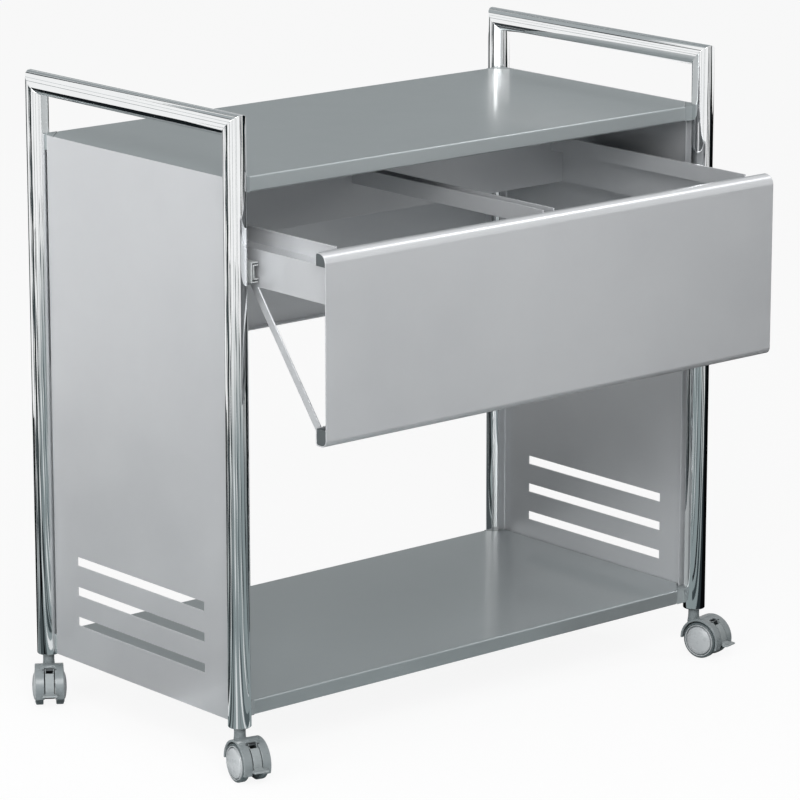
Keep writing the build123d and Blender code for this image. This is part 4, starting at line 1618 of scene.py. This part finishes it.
@dataclass(frozen=True)
class Card:
    """A card that glows at its shade and is seen only in mirrors: its shade is a painted reflection in the
    chrome and the coat.

    It lies on the floor from near to far, or stands at its far end from foot to head.
    Its direction is measured from +Y towards +X, and its spread is how wide it looks, both in degrees.
    """

    azimuth: float
    spread: float
    shade: str
    near: float = 0.3
    far: float = 5.6
    foot: float = 0.0
    head: float = 0.0
    waver: float = 0.0
    fast_waver: float = 9.0
    slow_waver: float = 3.7
    rows: int = 40

    def outline(self, lift: float) -> list[Point]:
        """Distance and height of each row of the card's points.

        Args:
            lift: how far a card that lies down is above the floor.

        Returns:
            The rows, from the near end or the foot.
        """
        if self.head > self.foot:
            return [(self.far, self.foot), (self.far, self.head)]
        return [(self.near + (self.far - self.near) * i / self.rows, lift) for i in range(self.rows + 1)]

    def edge(self, side: int, distance: float, height: float) -> Vector:
        """A point on one of the card's long edges, which waver as torn paper does.

        Args:
            side: -1 or 1.
            distance: how far from the cart.
            height: how high above the floor.

        Returns:
            The point.
        """
        fast, slow = distance * self.fast_waver + side, distance * self.slow_waver + self.azimuth
        sway = self.waver * math.sin(fast) * math.sin(slow)
        angle = math.radians(self.azimuth + side * self.spread / 2 + sway)
        return Vector((math.sin(angle) * distance, math.cos(angle) * distance, height))

    def build(self, number: int) -> None:
        """Lays or stands the card where only mirrors see it.

        Args:
            number: the card's number, which keeps the cards that lie down apart.
        """
        mesh = bmesh.new()
        rows = [
            [mesh.verts.new(self.edge(side, *end)) for side in (-1, 1)]
            for end in self.outline(MM * (number + 1))
        ]
        for near, far in zip(rows, rows[1:]):
            mesh.faces.new((near[0], near[1], far[1], far[0]))
        obj = mesh_object(f"card_{number}", mesh, closed=False)
        material = bpy.data.materials.new(f"card_{number}_mirror_glow")
        tree = bare_tree(material)
        # The card glows at its shade under any lamp: a painted reflection.
        shade = add_node(tree, "ShaderNodeEmission", None, {"Color": linear(self.shade), "Strength": 1.0})
        add_node(tree, "ShaderNodeOutputMaterial", None, {"Surface": shade.outputs[0]})
        obj.data.materials.append(material)
        obj.visible_camera = False
        obj.visible_diffuse = False
        obj.visible_shadow = False


@dataclass
class Studio:
    """Floor, world, lamps, glowing cards whose shades paint reflections into the chrome and the coat, and the
    camera.
    """

    camera_place: Place = (-3.5983, -4.1924, 1.7846)
    heading_deg: float = 40.512
    dip_deg: float = 14.083
    focal_px: float = 4291.8
    frame_px: float = 800.0
    sensor_mm: float = 36.0
    sight: float = 100.0
    fill: float = 0.36
    floor_half: float = 40.0
    floor_colour: str = "#f4f5f5"
    floor_glow: float = 0.90
    # Painted shade in mirrors: the floor greys from this colour round this centre to white over this reach.
    painted_shade_colour: str = "#8b9698"
    painted_shade_centre: Place = (-0.6, -0.7, 0.0)
    painted_shade_reach: Point = (0.95, 2.3)
    lamps: tuple[Lamp, ...] = (
        Lamp("key", (-4.0, -0.9, 1.4), (0, 0, 0.45), 2.4, 93),
        Lamp("front", (-1.9, -2.5, 2.5), (0, -0.2, 0.5), 1.6, 82),
        Lamp("edge", (2.3, -0.9, 3.3), (0, -0.2, 0.6), 0.5, 14),
    )
    # Painted reflections: each card glows at its shade and only mirrors see it.
    cards: tuple[Card, ...] = (
        Card(91.0, 78.0, "#070809", waver=5.0),
        Card(18.0, 32.0, "#4a5053"),
        Card(351.0, 18.0, "#3a4042", waver=2.0),
        Card(330.0, 24.0, "#171c1e", near=0.55, far=2.0),
        Card(311.0, 7.0, "#4b5254", waver=3.0),
        Card(293.0, 20.0, "#464e50", waver=5.0),
        Card(290.0, 6.0, "#0c0e0f", waver=5.0),
        Card(132.0, 12.0, "#2b3235", waver=2.0),
        Card(149.0, 7.0, "#3a4245", waver=1.5),
        Card(164.0, 8.0, "#24272a", waver=2.0),
        Card(203.0, 2.0, "#6e7476"),
        Card(212.0, 1.6, "#8e9496"),
        Card(238.0, 2.0, "#7a8082"),
        Card(262.0, 3.0, "#4a4f51", waver=1.0),
        Card(196.0, 4.0, "#4c5557", far=3.2, waver=2.5),
        Card(207.0, 3.0, "#dde1e2", far=2.8, waver=1.5),
        Card(224.0, 5.0, "#566063", far=3.4, waver=3.0),
        Card(231.0, 2.5, "#e2e5e6", far=3.0, waver=2.0),
        Card(249.0, 5.0, "#dfe3e4", far=3.0, waver=3.0),
        Card(271.0, 6.0, "#3d4547", far=3.4, waver=4.0),
        Card(279.0, 4.0, "#e6e9ea", far=3.0, waver=2.0),
        Card(40.0, 36.0, "#9ba1a3", far=6.0, foot=1.25, head=2.8),
        Card(22.0, 58.0, "#9ba1a3", far=6.0, foot=2.9, head=4.6),
        Card(22.0, 58.0, "#5c6264", far=6.0, foot=4.7, head=5.1),
        Card(10.0, 58.0, "#a9afb1", far=6.0, foot=5.2, head=6.2),
        Card(337.0, 10.0, "#34393b", far=6.0, foot=5.0, head=5.8),
        Card(322.0, 30.0, "#b4babc", far=6.0, foot=3.1, head=3.3),
        Card(318.0, 30.0, "#8d9395", far=6.0, foot=1.2, head=1.45),
    )

    def camera(self) -> None:
        """Makes the camera and sets it as the scene's."""
        data = bpy.data.cameras.new("camera")
        data.sensor_width = self.sensor_mm
        data.lens = self.focal_px / self.frame_px * self.sensor_mm
        data.clip_end = self.sight
        obj = linked("camera", data)
        obj.location = self.camera_place
        obj.rotation_euler = (math.radians(90 - self.dip_deg), 0, -math.radians(self.heading_deg))
        bpy.context.scene.camera = obj

    def world(self) -> None:
        """A world that is white to the eye and in reflections, and a plain fill light elsewhere."""
        world = bpy.data.worlds.new("studio")
        tree = bare_tree(world)
        path = add_node(tree, "ShaderNodeLightPath").outputs
        seen = add_node(
            tree, "ShaderNodeMath", {"operation": "ADD"}, {0: path["Is Camera Ray"], 1: path["Is Glossy Ray"]}
        )
        shown = add_node(
            tree, "ShaderNodeMath", {"operation": "ADD", "use_clamp": True},
            {0: seen.outputs[0], 1: path["Is Transmission Ray"]},
        )
        fill, white = [
            add_node(tree, "ShaderNodeBackground", None, {"Color": WHITE, "Strength": strength}).outputs[0]
            for strength in (self.fill, 1.0)
        ]
        mixed = add_node(tree, "ShaderNodeMixShader", None, {0: shown.outputs[0], 1: fill, 2: white})
        add_node(tree, "ShaderNodeOutputWorld", None, {"Surface": mixed.outputs[0]})
        bpy.context.scene.world = world

    def floor(self) -> None:
        """A plain pale floor that keeps the cart's shadow. In mirrors it greys towards the cart: painted
        shade standing in for the floor's shade round the cart.
        """
        mesh = bmesh.new()
        bmesh.ops.create_grid(mesh, x_segments=1, y_segments=1, size=self.floor_half)
        obj = mesh_object("floor", mesh)
        material = bpy.data.materials.new("pale_floor")
        tree = bare_tree(material)
        path = add_node(tree, "ShaderNodeLightPath").outputs
        place = add_node(tree, "ShaderNodeTexCoord").outputs["Object"]
        reach = add_node(
            tree, "ShaderNodeVectorMath", {"operation": "DISTANCE"}, {0: place, 1: self.painted_shade_centre}
        )
        near, far = self.painted_shade_reach
        farness = add_node(
            tree, "ShaderNodeMapRange", {"interpolation_type": "SMOOTHSTEP"},
            {"Value": reach.outputs["Value"], "From Min": near, "From Max": far},
        )
        # Painted shade for mirrors: grey near the cart, white further off.
        shade = add_node(
            tree, "ShaderNodeMix", {"data_type": "RGBA"},
            {0: farness.outputs[0], 6: linear(self.painted_shade_colour), 7: WHITE},
        )
        matt = add_node(tree, "ShaderNodeBsdfDiffuse", None, {"Color": linear(self.floor_colour)})
        mirrored, glow = [
            add_node(tree, "ShaderNodeEmission", None, {"Color": colour, "Strength": 1.0}).outputs[0]
            for colour in (shade.outputs[2], WHITE)
        ]
        share = add_node(
            tree, "ShaderNodeMath", {"operation": "MULTIPLY"}, {0: path["Is Camera Ray"], 1: self.floor_glow}
        )
        pale = add_node(tree, "ShaderNodeMixShader", None, {0: share.outputs[0], 1: matt.outputs[0], 2: glow})
        mixed = add_node(
            tree, "ShaderNodeMixShader", None, {0: path["Is Glossy Ray"], 1: pale.outputs[0], 2: mirrored}
        )
        add_node(tree, "ShaderNodeOutputMaterial", None, {"Surface": mixed.outputs[0]})
        obj.data.materials.append(material)

    def build(self) -> None:
        """Makes the whole studio."""
        bpy.context.scene.view_settings.view_transform = "Standard"
        self.camera()
        self.world()
        self.floor()
        for lamp in self.lamps:
            lamp.build()
        for number, card in enumerate(self.cards):
            card.build(number)


def main() -> None:
    """Builds the studio and then each sub-assembly."""
    logging.basicConfig(level=logging.INFO, format="%(message)s")
    Studio().build()
    assemblies = [TubeFrame(), SheetWork(), FileDrawer(), Fasteners(), BallSlides()]
    assemblies += [Caster(corner) for corner in Corner]
    for assembly in assemblies:
        assembly.build()


if __name__ == "__main__":
    main()
